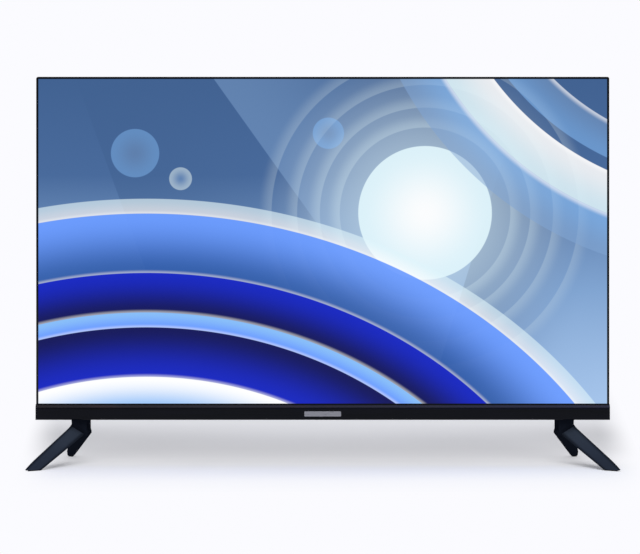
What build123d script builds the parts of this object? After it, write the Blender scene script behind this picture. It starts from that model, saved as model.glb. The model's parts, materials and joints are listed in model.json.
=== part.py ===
from build123d import *
import math
import os

os.makedirs("parts", exist_ok=True)

# A slim flat screen television on two angled feet, in millimetres.
# X runs to the right as seen from the front, Y to the back, Z up.
# The origin is on the table, midway between the feet.
# A lift is a height above the cabinet's lower edge, and a drop is a depth under it.

# Whole set
set_width = 716.0
set_height = 428.5
leg_height = 56.0
screen_front = -14.5
clearance = 0.3
overrun = 5.0

# Layers of the display, from the front
polarizer_thick = 0.2
front_glass_thick = 0.5
rear_glass_thick = 0.6
foam_thick = 0.3
ledge_thick = 1.0
prism_thick = 0.25
film_thick = 0.25
plate_thick = 1.5
optical_gap = 17.5
reflector_thick = 0.3
strip_thick = 1.0
pan_sheet = 0.8

# Middle frame
frame_wall = 1.4
frame_proud = 0.5
frame_skirt = 9.0
frame_corner = 2.5
ledge_width = 5.0
web_rise = 2.0

# Chin cover
chin_height = 19.6
chin_deep = 2.5
chin_wall = 1.8
chin_side_step = 0.6
chin_lip = 1.4
chin_bevel_high = 2.7
chin_bevel_deep = 2.1
chin_foot_bevel = 0.9
chin_end_bevel = 1.6
chin_groove = 0.35
chin_groove_drop = 5.6
hook_count = 7
hook_width = 8.0
hook_thick = 1.0
hook_reach = 1.5
badge_width = 46.0
badge_high = 6.4
badge_thick = 0.5
badge_corner = 0.9

# Cell, films and source board
cell_overlap = 2.0
glass_shelf = 3.0
black_edge = 0.5
film_margin = 1.0
film_drop = 3.6
source_width = 480.0
source_high = 10.3
source_lift = 1.9
flex_count = 5
flex_width = 32.0
flex_thick = 0.1
flex_lap = 2.6

# Back pan
pan_side = 9.0
pan_slope = 20.0
pan_corner = 6.0
pan_low_lip = 22.0
bead_width = 12.0
bead_high = 1.6
post_radius = 3.4
post_height = 6.0

# Backlight
strip_length = 620.0
strip_high = 12.0
strip_names = ("lower", "middle", "upper")
strip_pitch = 122.0
lens_count = 7
lens_pitch = 92.0
lens_radius = 8.0
lens_high = 5.2
lens_recess = 3.4
led_side = 2.8
led_high = 0.7
peg_radius = 5.0
peg_tip_radius = 1.0
peg_root_radius = 2.6

# Screws
screw_head_radius = 3.1
screw_head_thick = 2.2
screw_shank_radius = 1.45
screw_fit = 0.1
screw_bite = 5.0
screw_cross_long = 3.4
screw_cross_wide = 0.8
screw_cross_deep = 1.2

# Rear cover
cover_wall = 2.4
band_step = 12.0
band_taper = 6.0
band_top_lift = 81.0
band_back = 42.0
bulge_half = 219.0
bulge_taper = 7.0
bulge_top_lift = 278.0
bulge_back = 57.5
cover_draft = 8.0
cover_corner = 8.0
cover_round = 4.5
tower_radius = 5.2
tower_floor = 2.5
well_radius = 3.8
band_screw_inset = 71.0
band_screw_lift = 62.0
top_screw_inset = 33.0
top_screw_lift = 255.0
low_screw_inset = 51.0
low_screw_lift = 12.0
slot_width = 2.4
slot_pitch = 6.0
vent_count = 33
top_vent_lift = 239.0
top_vent_high = 15.0
low_vent_lift = 56.0
low_vent_high = 34.0

# Niches in the rear cover that the sockets open into
niche_deep = 16.0
niche_front = 13.7
niche_back = 43.0
niche_low_lift = 87.0
niche_high_lift = 245.0
inlet_niche_low_lift = 96.0
inlet_niche_high_lift = 144.0

# Wall mount
mount_pitch = 100.0
mount_lift = 174.0
standoff_radius = 5.0
mount_bore_radius = 1.65
mount_bore_deep = 14.0

# Circuit boards
board_thick = 1.6
board_inset = 6.0
socket_side_inset = 32.0
main_left = 78.0
main_niche_gap = 4.0
main_low_lift = 84.0
main_high_lift = 248.0
power_low_lift = 94.0
power_high_lift = 244.0
chip_side = 27.0
chip_high = 2.0
memory_long = 13.0
memory_wide = 9.0
coil_side = 8.0
coil_high = 4.5
can_radius = 3.2
can_high = 9.0
header_long = 14.0
header_high = 6.0
header_deep = 5.5
sink_width = 48.0
sink_high = 44.0
sink_base = 3.0
fin_count = 9
fin_thick = 1.6
fin_tall = 13.0
tuner_width = 30.0
tuner_high = 24.0
tuner_tall = 9.0
tuner_sheet = 0.5

# Sockets
socket_gap = 3.6
socket_wall = 0.6
video_wide = 15.0
video_tall = 6.4
video_deep = 12.0
video_tongue = 0.9
video_count = 2
data_wide = 14.0
data_tall = 7.2
data_deep = 15.0
data_tongue = 1.8
data_count = 2
network_wide = 16.0
network_tall = 14.0
network_deep = 18.0
network_wall = 2.0
network_latch = 4.4
jack_wide = 11.0
jack_tall = 14.0
jack_deep = 11.0
jack_radius = 4.15
jack_bore = 1.75
jack_long = 8.5
jack_count = 3
aerial_wide = 15.0
aerial_tall = 16.0
aerial_radius = 4.75
aerial_bore = 0.8
aerial_long = 10.0
inlet_wide = 21.0
inlet_tall = 15.0
inlet_deep = 21.0
inlet_pin_pitch = 8.6
inlet_pin_radius = 1.18
inlet_lobe_radius = 4.3
inlet_cavity = 14.0
inlet_pin_long = 11.0

# Parts of the power board
core_wide = 34.0
core_high = 28.0
core_tall = 27.0
core_leg = 6.0
winding_gap = 0.6
bulk_radius = 11.0
bulk_tall = 31.0
small_cap_radius = 5.0
small_cap_tall = 21.0
plate_sink_wide = 42.0
plate_sink_tall = 26.0
plate_sink_thick = 2.0

# Speakers
speaker_long = 56.0
speaker_gap = 12.0
speaker_high = 41.0
speaker_front = 12.0
speaker_back = 37.4
speaker_wall = 1.8
speaker_corner = 4.0
speaker_ear = 12.0
speaker_ear_wide = 9.0
ear_thick = 2.0
ear_inset = 8.0
cone_long = 44.0
cone_wide = 20.0
cone_flange = 1.6
cone_deep = 9.0
magnet_radius = 8.0
magnet_tall = 7.0
grille_count = 8

# Small boards
receiver_gap = 22.0
receiver_wide = 28.0
receiver_eye = 5.0
receiver_eye_high = 1.3
wireless_left = -67.0
wireless_wide = 34.0
wireless_low_lift = 48.0
wireless_high_lift = 72.0
wireless_can = 14.0
wireless_can_high = 2.4

# Keys, from the lowest up
key_names = ("power", "source", "menu", "channel_down", "channel_up", "volume_down", "volume_up")
key_inset = 19.0
key_lift = 37.0
key_pitch = 7.4
key_high = 5.8
key_wide = 12.0
key_corner = 1.2
key_proud = 0.9
key_travel = 0.8
key_flange = 1.0
key_flange_step = 1.2
key_stem_radius = 1.5
dome_side = 4.6
dome_high = 0.8
dome_radius = 1.6
key_board_wide = 16.0
key_board_low_lift = 6.0
key_board_high_lift = 68.0
key_boss_radius = 2.6
key_stop_gap = 0.1

# Feet
neck_inset = 62.0
neck_wide = 19.0
neck_front = -8.0
neck_back = 31.0
neck_low_drop = 21.0
neck_facet_deep = 3.5
neck_facet_low_drop = 13.0
knee_step = 1.0
knee_high_drop = 14.5
knee_mid_drop = 17.5
tenon_front = 13.0
tenon_back = 29.0
tenon_high_lift = 47.0
ridge_step = 1.4
ridge_drop = 10.8
ridge_bend_inset = 0.1
ridge_bend_drop = 4.5
ridge_start_step = 4.4
ridge_start_drop = 12.1
edge_step = 3.8
edge_drop = 19.7
tip_reach = 43.7
tip_y = -90.5
tip_z = 2.0
tip_shoulder_step = 9.7
tip_shoulder_z = 13.7
sole_wide = 16.1
toe_step = 2.1
leg_thick = 9.0
pad_thick = 1.2
pad_inset = 1.1
rear_edge_drop = 21.5
rear_tip_y = 90.5
rear_sole_step = 10.0
rear_sole_wide = 8.4
rear_ankle_step = 0.4
rear_ankle_z = 7.5
rear_ridge_drop = 6.0
rear_leg_thick = 10.0

# Stand brackets
bracket_wall = 3.0
bracket_high_lift = 72.0
foot_screw_low_lift = 16.0
foot_screw_high_lift = 38.0
driver_radius = 4.4

# Leads
thin_lead = 1.0
thick_lead = 2.2
ribbon_left = 100.0
ribbon_wide = 25.0
ribbon_thick = 0.4
ribbon_lift = 8.0
ribbon_bend = 6.0

# Faces that the driving sizes give
half_width = set_width / 2
band_half = half_width - band_step
band_screw_x = band_half - band_screw_inset
key_x = band_half - key_inset
neck_inner = half_width - neck_inset
neck_outer = neck_inner + neck_wide
ridge_bend_x = neck_outer - ridge_bend_inset
ridge_start_x = neck_outer + ridge_start_step
tip_x = neck_outer + tip_reach
tip_shoulder_x = tip_x - tip_shoulder_step
sole_outer = tip_x - toe_step
sole_inner = sole_outer - sole_wide
rear_sole_inner = neck_outer + rear_sole_step
rear_sole_outer = rear_sole_inner + rear_sole_wide
rear_ankle_x = rear_sole_outer - rear_ankle_step
speaker_outer = neck_inner - speaker_gap
speaker_inner = speaker_outer - speaker_long
receiver_left = source_width / 2 + receiver_gap
niche_face = bulge_half - niche_deep
top_screw_x = bulge_half - top_screw_inset
low_screw_x = bulge_half - low_screw_inset
main_right = niche_face - main_niche_gap
body_low = leg_height
band_top = body_low + band_top_lift
bulge_top = body_low + bulge_top_lift
band_screw_z = body_low + band_screw_lift
top_screw_z = body_low + top_screw_lift
low_screw_z = body_low + low_screw_lift
top_vent_z = body_low + top_vent_lift
low_vent_z = body_low + low_vent_lift
niche_low = body_low + niche_low_lift
niche_high = body_low + niche_high_lift
inlet_niche_low = body_low + inlet_niche_low_lift
inlet_niche_high = body_low + inlet_niche_high_lift
mount_z = body_low + mount_lift
main_low = body_low + main_low_lift
main_high = body_low + main_high_lift
power_low = body_low + power_low_lift
power_high = body_low + power_high_lift
wireless_low = body_low + wireless_low_lift
wireless_high = body_low + wireless_high_lift
key_z = body_low + key_lift
key_board_low = body_low + key_board_low_lift
key_board_high = body_low + key_board_high_lift
ribbon_z = body_low + ribbon_lift
foot_screw_low = body_low + foot_screw_low_lift
foot_screw_high = body_low + foot_screw_high_lift
tenon_high = body_low + tenon_high_lift
bracket_high = body_low + bracket_high_lift
neck_low = body_low - neck_low_drop
neck_facet_low = body_low - neck_facet_low_drop
knee_high = body_low - knee_high_drop
knee_mid = body_low - knee_mid_drop
ridge_z = body_low - ridge_drop
ridge_bend_z = body_low - ridge_bend_drop
ridge_start_z = body_low - ridge_start_drop
edge_z = body_low - edge_drop
rear_edge_z = body_low - rear_edge_drop
rear_ridge_z = body_low - rear_ridge_drop
body_high = leg_height + set_height
frame_front = screen_front - frame_proud
frame_rear = frame_front + frame_skirt
glass_front = screen_front + polarizer_thick
glass_step = glass_front + front_glass_thick
glass_back = glass_step + rear_glass_thick
ledge_front = glass_back + foam_thick
ledge_back = ledge_front + ledge_thick
prism_back = ledge_back + prism_thick
film_back = prism_back + film_thick
plate_back = film_back + plate_thick
rim_front = plate_back + reflector_thick
rim_back = rim_front + pan_sheet
reflector_floor = plate_back + optical_gap
strip_front = reflector_floor + reflector_thick
pan_front = strip_front + strip_thick
pan_back = pan_front + pan_sheet
pocket_half = half_width - frame_wall
pocket_high = body_high - frame_wall
pocket_low = body_low + frame_wall
chin_high = body_low + chin_height
chin_front = frame_front - chin_deep
chin_half = half_width + chin_side_step
cell_half = pocket_half - clearance
cell_high = pocket_high - clearance
cell_low = chin_high - cell_overlap
shelf_low = cell_low - glass_shelf
opening_half = pocket_half - pan_side
opening_low = body_low + pan_low_lip + clearance
opening_high = pocket_high - pan_side
floor_half = opening_half - pan_slope
floor_low = opening_low + pan_slope
floor_high = opening_high - pan_slope
middle_z = (opening_low + opening_high) / 2
source_low = pocket_low + source_lift
board_front = pan_back + post_height
board_back = board_front + board_thick
niche_inner = niche_face - cover_wall
band_inner_back = band_back - cover_wall
screw_hole_radius = screw_shank_radius + screw_fit
socket_y = board_back


def middle(span):
    return (span[0] + span[1]) / 2


def around(centre, size):
    return (centre - size / 2, centre + size / 2)


def mirrored(span):
    return (-span[1], -span[0])


def grown(span, amount):
    return (span[0] - amount, span[1] + amount)


def block(x, y, z):
    size = (x[1] - x[0], y[1] - y[0], z[1] - z[0])
    return Pos(middle(x), middle(y), middle(z)) * Box(*size)


def rod_x(y, z, radius, x):
    return Pos(middle(x), y, z) * Rot(0, 90, 0) * Cylinder(radius, x[1] - x[0])


def rod_y(x, z, radius, y):
    return Pos(x, middle(y), z) * Rot(90, 0, 0) * Cylinder(radius, y[1] - y[0])


def rod_z(x, y, radius, z):
    return Pos(x, y, middle(z)) * Cylinder(radius, z[1] - z[0])


def upright_plane(x, y, z):
    """A plane that faces the back, with its own X along the set."""
    return Plane(origin=(x, y, z), x_dir=(1, 0, 0), z_dir=(0, 1, 0))


def panel_face(x, y, z, corner):
    face = RectangleRounded(x[1] - x[0], z[1] - z[0], corner)
    return upright_plane(middle(x), y, middle(z)) * face


def sheet(x, y, z, corner):
    face = panel_face(x, y[0], z, corner)
    return extrude(face, amount=y[1] - y[0], dir=(0, 1, 0))


def tapered(front, back):
    """A solid between two upright rounded rectangles."""
    return loft([panel_face(*front), panel_face(*back)], ruled=True)


def pair(solid):
    """The piece and its mirror image on the other side of the set."""
    return Compound(children=[solid, mirror(solid, about=Plane.YZ)])


def group(solids):
    return Compound(children=solids)


def screw(x, z, seat, length, towards=-1):
    """A pan-head screw along Y with its head's underside at seat."""
    head_end = seat - towards * screw_head_thick
    tip = seat + towards * length
    head = rod_y(x, z, screw_head_radius, sorted((seat, head_end)))
    shank = rod_y(x, z, screw_shank_radius, sorted((seat, tip)))
    recess = sorted((head_end + towards * screw_cross_deep, head_end - towards * overrun))
    wide = around(x, screw_cross_long)
    tall = around(z, screw_cross_long)
    cross = block(wide, recess, around(z, screw_cross_wide))
    cross += block(around(x, screw_cross_wide), recess, tall)
    return head + shank - cross


def post(x, z, base):
    """A post pressed or riveted on the pan, with a blind hole for a screw."""
    top = base + post_height
    pilot = (top - screw_bite - clearance, top + overrun)
    return rod_y(x, z, post_radius, (base, top)) - rod_y(x, z, screw_hole_radius, pilot)


def row_of(count, pitch, centre=0):
    """Evenly spaced places about a centre."""
    return [centre + pitch * (i - (count - 1) / 2) for i in range(count)]


def corner_places(x, z, inset):
    return [(px, pz) for px in (x[0] + inset, x[1] - inset) for pz in (z[0] + inset, z[1] - inset)]


# Places that several pieces share
main_x = (main_left, main_right)
main_z = (main_low, main_high)
power_x = mirrored(main_x)
power_z = (power_low, power_high)
wireless_x = (wireless_left, wireless_left + wireless_wide)
wireless_z = (wireless_low, wireless_high)
ear_x = (speaker_inner + ear_inset, speaker_outer - ear_inset)
speaker_low = body_low + cover_wall + clearance
speaker_top = speaker_low + speaker_high
ear_z = speaker_top + speaker_ear / 2
band_places = [(-band_screw_x, band_screw_z), (band_screw_x, band_screw_z)]
top_places = [(-top_screw_x, top_screw_z), (0, top_screw_z), (top_screw_x, top_screw_z)]
low_places = [(-low_screw_x, low_screw_z), (0, low_screw_z), (low_screw_x, low_screw_z)]
main_places = corner_places((main_left, main_right - socket_side_inset + board_inset), main_z, board_inset)
power_places = corner_places(power_x, power_z, board_inset)
board_places = main_places + power_places
wireless_places = [(wireless_x[0] + board_inset, wireless_high - board_inset)]
wireless_places += [(wireless_x[1] - board_inset, wireless_low + board_inset)]
ear_places = [(side * x, ear_z) for side in (-1, 1) for x in ear_x]
mount_places = [(x, z) for x in around(0, mount_pitch) for z in around(mount_z, mount_pitch)]
hook_places = row_of(hook_count, (set_width - 4 * hook_width) / (hook_count - 1))
ribbon_x = (ribbon_left, ribbon_left + ribbon_wide)
strip_places = row_of(len(strip_names), strip_pitch, middle_z)
lens_places = row_of(lens_count, lens_pitch)
key_places = row_of(len(key_names), key_pitch, key_z)
tenon_x = (neck_inner, neck_outer)
tenon_y = (tenon_front, tenon_back)
bracket_x = grown(tenon_x, clearance + bracket_wall)
bracket_back = tenon_back + clearance + bracket_wall
foot_screw_places = [(middle(tenon_x), z) for z in (foot_screw_low, foot_screw_high)]


# Display


def middle_frame():
    """The border round the picture, with the ledge that carries the cell."""
    frame = sheet((-half_width, half_width), (frame_front, frame_rear), (body_low, body_high), frame_corner)
    pocket_x = (-pocket_half, pocket_half)
    pocket_z = (pocket_low, pocket_high)
    window_x = grown(pocket_x, -ledge_width)
    window_z = (chin_high + web_rise, pocket_high - ledge_width)
    frame -= block(pocket_x, (frame_front - overrun, ledge_front), pocket_z)
    frame -= block(pocket_x, (ledge_back, frame_rear + overrun), pocket_z)
    frame -= block(window_x, (frame_front, frame_rear), window_z)
    slot_z = (pocket_low, pocket_low + hook_thick + 2 * clearance)
    web_y = (ledge_front - clearance, ledge_back + clearance)
    for x in hook_places:
        frame -= block(around(x, hook_width + 2 * clearance), web_y, slot_z)
    window = grown(around(ribbon_z, ribbon_thick), clearance + ribbon_thick)
    frame -= block(grown(ribbon_x, clearance), web_y, window)
    return frame


def front_polarizer():
    x = (black_edge - cell_half, cell_half - black_edge)
    z = (cell_low + black_edge, cell_high - black_edge)
    return block(x, (screen_front, glass_front), z)


def lcd_cell():
    """Two bonded glasses; the rear one reaches lower, for the source flexes."""
    x = (-cell_half, cell_half)
    front_glass = block(x, (glass_front, glass_step), (cell_low, cell_high))
    rear_glass = block(x, (glass_step, glass_back), (shelf_low, cell_high))
    return front_glass + rear_glass


def panel_foam():
    """The foam tape between the cell and the ledge."""
    x = grown((-cell_half, cell_half), -clearance)
    z = (shelf_low + clearance, cell_high - clearance)
    inner_z = (z[0] + glass_shelf, z[1] - glass_shelf)
    y = (glass_back, ledge_front)
    ring = block(x, y, z)
    return ring - block(grown(x, -glass_shelf), grown(y, overrun), inner_z)


def backlight_sheet(front, back):
    half = pocket_half - film_margin
    return block((-half, half), (front, back), (chin_high - film_drop, pocket_high - film_margin))


def tray(front_y, floor_y, step):
    """The hollow of the backlight: a mouth, a sloping wall all round and a floor."""
    mouth_x = grown((-opening_half, opening_half), step)
    mouth_z = grown((opening_low, opening_high), step)
    floor_x = grown((-floor_half, floor_half), step)
    floor_z = grown((floor_low, floor_high), step)
    mouth = (mouth_x, front_y, mouth_z, pan_corner + step)
    return tapered(mouth, (floor_x, floor_y, floor_z, pan_corner + step))


def lens_pattern(radius, y):
    return [rod_y(x, z, radius, y) for x in lens_places for z in strip_places]


def peg_places():
    columns = [(lens_places[i] + lens_places[i + 1]) / 2 for i in (0, 2, 3, 5)]
    rows = [(strip_places[i] + strip_places[i + 1]) / 2 for i in range(len(strip_names) - 1)]
    return [(x, z) for x in columns for z in rows]


def reflector_sheet():
    """White tray of thin sheet that lines the pan, with a hole for each lens."""
    step = clearance + reflector_thick
    flange_x = grown((-cell_half, cell_half), -clearance)
    flange_z = (chin_high - clearance, cell_high - clearance)
    flange = block(flange_x, (plate_back, rim_front), flange_z)
    shell = tray(plate_back, reflector_floor + reflector_thick, -clearance) + flange
    hollow = tray(plate_back - reflector_thick, reflector_floor, -step)
    floor_y = (reflector_floor - overrun, strip_front + overrun)
    holes = lens_pattern(lens_radius + clearance, floor_y)
    holes += [rod_y(x, z, peg_root_radius + clearance, floor_y) for x, z in peg_places()]
    return shell - hollow - holes


def led_strip(z):
    """A metal-backed board with its light-emitting chips."""
    body = block(around(0, strip_length), (strip_front, pan_front), around(z, strip_high))
    led_y = (strip_front - led_high, strip_front)
    for x in lens_places:
        body += block(around(x, led_side), led_y, around(z, led_side))
    return body


def lens():
    """A domed lens with a hollow over its chip, standing on the strip."""
    shoulder_share = 0.55
    waist_share = 0.72
    rim_share = 0.12
    top = (0, -lens_high)
    bend = (lens_radius * waist_share, -lens_high * shoulder_share)
    rim = (lens_radius, -lens_high * rim_share)
    foot = (lens_radius, 0)
    hollow_top = (0, -lens_high / 2)
    outline = ThreePointArc(top, bend, rim) + Polyline(rim, foot, (lens_recess, 0))
    outline += Polyline((lens_recess, 0), hollow_top, top)
    return revolve(make_face(outline), Axis.Y)


def led_lenses():
    shape = lens()
    return group([Pos(x, strip_front, z) * shape for x in lens_places for z in strip_places])


def diffuser_peg(x, z):
    """A clear peg that keeps the diffuser plate off the lenses."""
    flange_y = (reflector_floor - reflector_thick, reflector_floor)
    root = rod_y(x, z, peg_root_radius, (reflector_floor, pan_front))
    flange = rod_y(x, z, peg_radius, flange_y)
    height = flange_y[0] - plate_back - clearance
    cone = Cone(peg_radius - reflector_thick, peg_tip_radius, height)
    cone = Pos(x, flange_y[0] - height / 2, z) * Rot(90, 0, 0) * cone
    return root + flange + cone


def diffuser_posts():
    return group([diffuser_peg(x, z) for x, z in peg_places()])


def bead(x, z):
    """A stiffening bead pressed out of the pan's floor."""
    outer = (x, pan_back, z, bead_width / 3)
    outer_top = (grown(x, -bead_high), pan_back + bead_high, grown(z, -bead_high), bead_width / 4)
    inner = (grown(x, -pan_sheet / 2), pan_front, grown(z, -pan_sheet / 2), bead_width / 3)
    inner_top = (grown(x, -bead_high), pan_front + bead_high, grown(z, -bead_high), bead_width / 4)
    return tapered(outer, outer_top), tapered(inner, inner_top)


def pan_beads():
    """One long bead above the cover and a short upright one on each side."""
    rise = bulge_top + bead_width
    drop = floor_high - 2 * bead_width
    beads = [bead((-floor_half + 3 * bead_width, floor_half - 3 * bead_width), (drop, drop + bead_width))]
    for side in (-1, 1):
        for x_share in (0.74, 0.88):
            x = around(side * floor_half * x_share, bead_width)
            beads.append(bead(x, (band_top + 2 * bead_width, rise + bead_width)))
    return beads


def back_pan():
    """Pressed steel tray that carries the backlight, the boards and the cover."""
    x = (-cell_half, cell_half)
    z = (pocket_low + clearance, cell_high)
    pan = sheet(x, (rim_front, rim_back), z, pan_corner)
    pan += tray(rim_front, pan_back, pan_sheet / 2)
    for bump, _ in pan_beads():
        pan += bump
    pan -= tray(rim_front, pan_front, 0)
    pan -= [hollow for _, hollow in pan_beads()]
    pan += [post(px, pz, pan_back) for px, pz in band_places + top_places]
    pan += [post(px, pz, rim_back) for px, pz in low_places]
    pan += [post(px, pz, pan_back) for px, pz in board_places + wireless_places + ear_places]
    rim_y = grown((rim_front, rim_back), overrun / 5)
    pan -= block(grown(ribbon_x, clearance), rim_y, grown(around(ribbon_z, ribbon_thick), 2 * clearance))
    return pan - rod_y(lamp_lead_x, lamp_lead_z, 2 * thin_lead, (pan_front - clearance, pan_back + overrun))


def chin_cover():
    """The front trim along the bottom, with hooks that snap into the frame."""
    groove_z = chin_high - chin_groove_drop
    side = [
        (frame_front, body_low),
        (chin_front + chin_foot_bevel, body_low),
        (chin_front, body_low + chin_foot_bevel),
        (chin_front, groove_z - chin_groove),
        (chin_front + chin_groove, groove_z),
        (chin_front, groove_z + chin_groove),
        (chin_front, chin_high - chin_lip - chin_bevel_high),
        (chin_front + chin_bevel_deep, chin_high - chin_lip),
        (chin_front + chin_bevel_deep, chin_high),
        (frame_front, chin_high),
    ]
    profile = Plane.YZ.offset(-chin_half) * make_face(Polyline(*side, close=True))
    chin = extrude(profile, amount=2 * chin_half, dir=(1, 0, 0))
    plan = [
        (-chin_half, frame_front),
        (-chin_half, chin_front + chin_end_bevel / 2),
        (-chin_half + chin_end_bevel, chin_front),
        (chin_half - chin_end_bevel, chin_front),
        (chin_half, chin_front + chin_end_bevel / 2),
        (chin_half, frame_front),
    ]
    ends = Plane.XY.offset(body_low) * make_face(Polyline(*plan, close=True))
    chin &= extrude(ends, amount=chin_height, dir=(0, 0, 1))
    hollow_x = grown((-chin_half, chin_half), -chin_wall)
    hollow_y = (chin_front + chin_wall, frame_front + overrun)
    chin -= block(hollow_x, hollow_y, (pocket_low, chin_high - chin_lip - chin_bevel_high))
    badge_y = (chin_front - overrun, chin_front + badge_thick / 2)
    chin -= sheet(around(0, badge_width), badge_y, badge_z(), badge_corner)
    low = pocket_low + clearance
    for x in hook_places:
        hook_y = (chin_front + chin_wall, ledge_back + hook_reach)
        chin += block(around(x, hook_width), hook_y, (low, low + hook_thick))
    return chin


def badge_z():
    flat = (body_low + chin_foot_bevel, chin_high - chin_groove_drop)
    return around(middle(flat), badge_high)


def badge_plate():
    """A blank plate let into the middle of the chin."""
    y = (chin_front - badge_thick / 2, chin_front + badge_thick / 2)
    x = grown(around(0, badge_width), -clearance / 3)
    return sheet(x, y, grown(badge_z(), -clearance / 3), badge_corner)


def source_board():
    z = (source_low, source_low + source_high)
    return block(around(0, source_width), (glass_step, ledge_front), z)


def source_flexes():
    """The films that join the source board to the cell's lower shelf."""
    y = (glass_step - flex_thick, glass_step)
    z = (source_low + source_high - flex_lap, cell_low - clearance)
    centres = row_of(flex_count, source_width / flex_count)
    return group([block(around(x, flex_width), y, z) for x in centres])


def receiver_board():
    """The remote receiver and its lamp, behind the chin."""
    x = (receiver_left, receiver_left + receiver_wide)
    z = (source_low, source_low + source_high)
    board = block(x, (glass_step, ledge_front), z)
    eye_y = (glass_step - receiver_eye_high, glass_step)
    board += block(around(middle(x), receiver_eye), eye_y, around(middle(z), receiver_eye))
    lamp_x = x[1] - receiver_eye
    return board + rod_y(lamp_x, middle(z), receiver_eye / 4, eye_y)


# Electronics behind the pan


def circuit_board(x, z, thick, places):
    board = block(x, (board_front, board_front + thick), z)
    hole_y = (board_front - overrun, board_front + overrun)
    return board - [rod_y(px, pz, screw_hole_radius, hole_y) for px, pz in places]


def on_board(centre, size, tall):
    """A block that stands on a board's back face."""
    return block(around(centre[0], size[0]), (board_back, board_back + tall), around(centre[1], size[1]))


def main_place(x_share, z_share):
    x = main_left + (main_right - main_left) * x_share
    return (x, main_low + (main_high - main_low) * z_share)


def power_place(x_share, z_share):
    x = power_x[0] + (power_x[1] - power_x[0]) * x_share
    return (x, power_low + (power_high - power_low) * z_share)


sink_place = main_place(0.34, 0.52)
tuner_place = main_place(0.70, 0.84)
speaker_header_x = main_place(0.60, 0)[0]
key_header_x = main_place(0.86, 0)[0]
power_header_z = main_place(0, 0.34)[1]
lamp_header_z = power_place(0, 0.13)[1]
header_y = board_back + header_deep / 2


def board_chips():
    """The chips, coils, capacitors and plug headers on the main board."""
    parts = [on_board(sink_place, (chip_side, chip_side), chip_high)]
    for x_share, z_share in ((0.24, 0.76), (0.46, 0.76), (0.66, 0.50)):
        parts.append(on_board(main_place(x_share, z_share), (memory_long, memory_wide), chip_high / 2))
    for x_share, z_share in ((0.16, 0.16), (0.30, 0.16), (0.16, 0.90)):
        parts.append(on_board(main_place(x_share, z_share), (coil_side, coil_side), coil_high))
    for x_share, z_share in ((0.40, 0.22), (0.50, 0.22), (0.66, 0.24), (0.66, 0.34), (0.34, 0.90)):
        x, z = main_place(x_share, z_share)
        parts.append(rod_y(x, z, can_radius, (board_back, board_back + can_high)))
    header_z = (main_low + clearance, main_low + clearance + header_high)
    header_span = (board_back, board_back + header_deep)
    for x in (speaker_header_x, key_header_x):
        parts.append(block(around(x, header_long), header_span, header_z))
    parts.append(block(grown(ribbon_x, clearance), header_span, header_z))
    side_x = (main_left + clearance, main_left + clearance + header_high)
    parts.append(block(side_x, header_span, around(power_header_z, header_long)))
    return group(parts)


def heat_sink():
    """A finned aluminium block on the main chip."""
    base_y = board_back + chip_high
    x = around(sink_place[0], sink_width)
    z = around(sink_place[1], sink_high)
    sink = block(x, (base_y, base_y + sink_base), z)
    pitch = (sink_width - fin_thick) / (fin_count - 1)
    for i in range(fin_count):
        fin_x = (x[0] + pitch * i, x[0] + pitch * i + fin_thick)
        sink += block(fin_x, (base_y, base_y + sink_base + fin_tall), z)
    return sink


def tuner_can():
    """A tin lid over the tuner, open on the board's side."""
    x = around(tuner_place[0], tuner_width)
    z = around(tuner_place[1], tuner_high)
    y = (board_back, board_back + tuner_tall)
    can = block(x, y, z)
    hollow_y = (board_back - overrun, y[1] - tuner_sheet)
    return can - block(grown(x, -tuner_sheet), hollow_y, grown(z, -tuner_sheet))


def socket_stack():
    """The middle height of every socket along the niche, from the bottom up."""
    wide = [video_wide] * video_count + [data_wide] * data_count + [network_wide]
    wide += [jack_wide] * jack_count + [aerial_wide]
    places = []
    edge = niche_low
    for width in wide:
        edge += socket_gap
        places.append(edge + width / 2)
        edge += width
    return places


socket_z = socket_stack()
video_z = socket_z[:video_count]
data_z = socket_z[video_count:video_count + data_count]
network_z = socket_z[video_count + data_count]
jack_z = socket_z[-1 - jack_count:-1]
aerial_z = socket_z[-1]


def tongue_socket(z, wide, tall, deep, tongue):
    """A metal shell with a contact tongue, open to the side of the set."""
    x = (niche_face - deep, niche_face)
    y = (socket_y, socket_y + tall)
    z_span = around(z, wide)
    shell = block(x, y, z_span)
    hollow_x = (x[0] + socket_wall, x[1] + overrun)
    shell -= block(hollow_x, grown(y, -socket_wall), grown(z_span, -socket_wall))
    tongue_x = (x[0], x[1] - 2 * socket_wall)
    tongue_z = grown(z_span, -3 * socket_wall)
    return shell + block(tongue_x, around(middle(y), tongue), tongue_z)


def video_sockets():
    return group([tongue_socket(z, video_wide, video_tall, video_deep, video_tongue) for z in video_z])


def data_sockets():
    return group([tongue_socket(z, data_wide, data_tall, data_deep, data_tongue) for z in data_z])


def network_socket():
    x = (niche_face - network_deep, niche_face)
    y = (socket_y, socket_y + network_tall)
    z = around(network_z, network_wide)
    body = block(x, y, z)
    hollow_x = (x[0] + 2 * network_wall, x[1] + overrun)
    hollow_y = (y[0] + network_wall, y[1] - 2 * network_wall)
    body -= block(hollow_x, hollow_y, grown(z, -network_wall))
    latch_y = (hollow_y[1] - network_wall, y[1] - network_wall / 2)
    return body - block(hollow_x, latch_y, around(network_z, network_latch))


def round_socket(z, wide, tall, radius, bore, long):
    """A block on the board with a round barrel through the niche wall."""
    y = (socket_y, socket_y + tall)
    x = (niche_inner - clearance - jack_deep, niche_inner - clearance)
    body = block(x, y, around(z, wide))
    body += rod_x(middle(y), z, radius, (x[1], niche_face + long))
    bore_x = (x[0] + jack_deep / 4, niche_face + long + overrun)
    return body - rod_x(middle(y), z, bore, bore_x)


def av_jacks():
    return group([round_socket(z, jack_wide, jack_tall, jack_radius, jack_bore, jack_long) for z in jack_z])


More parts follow.
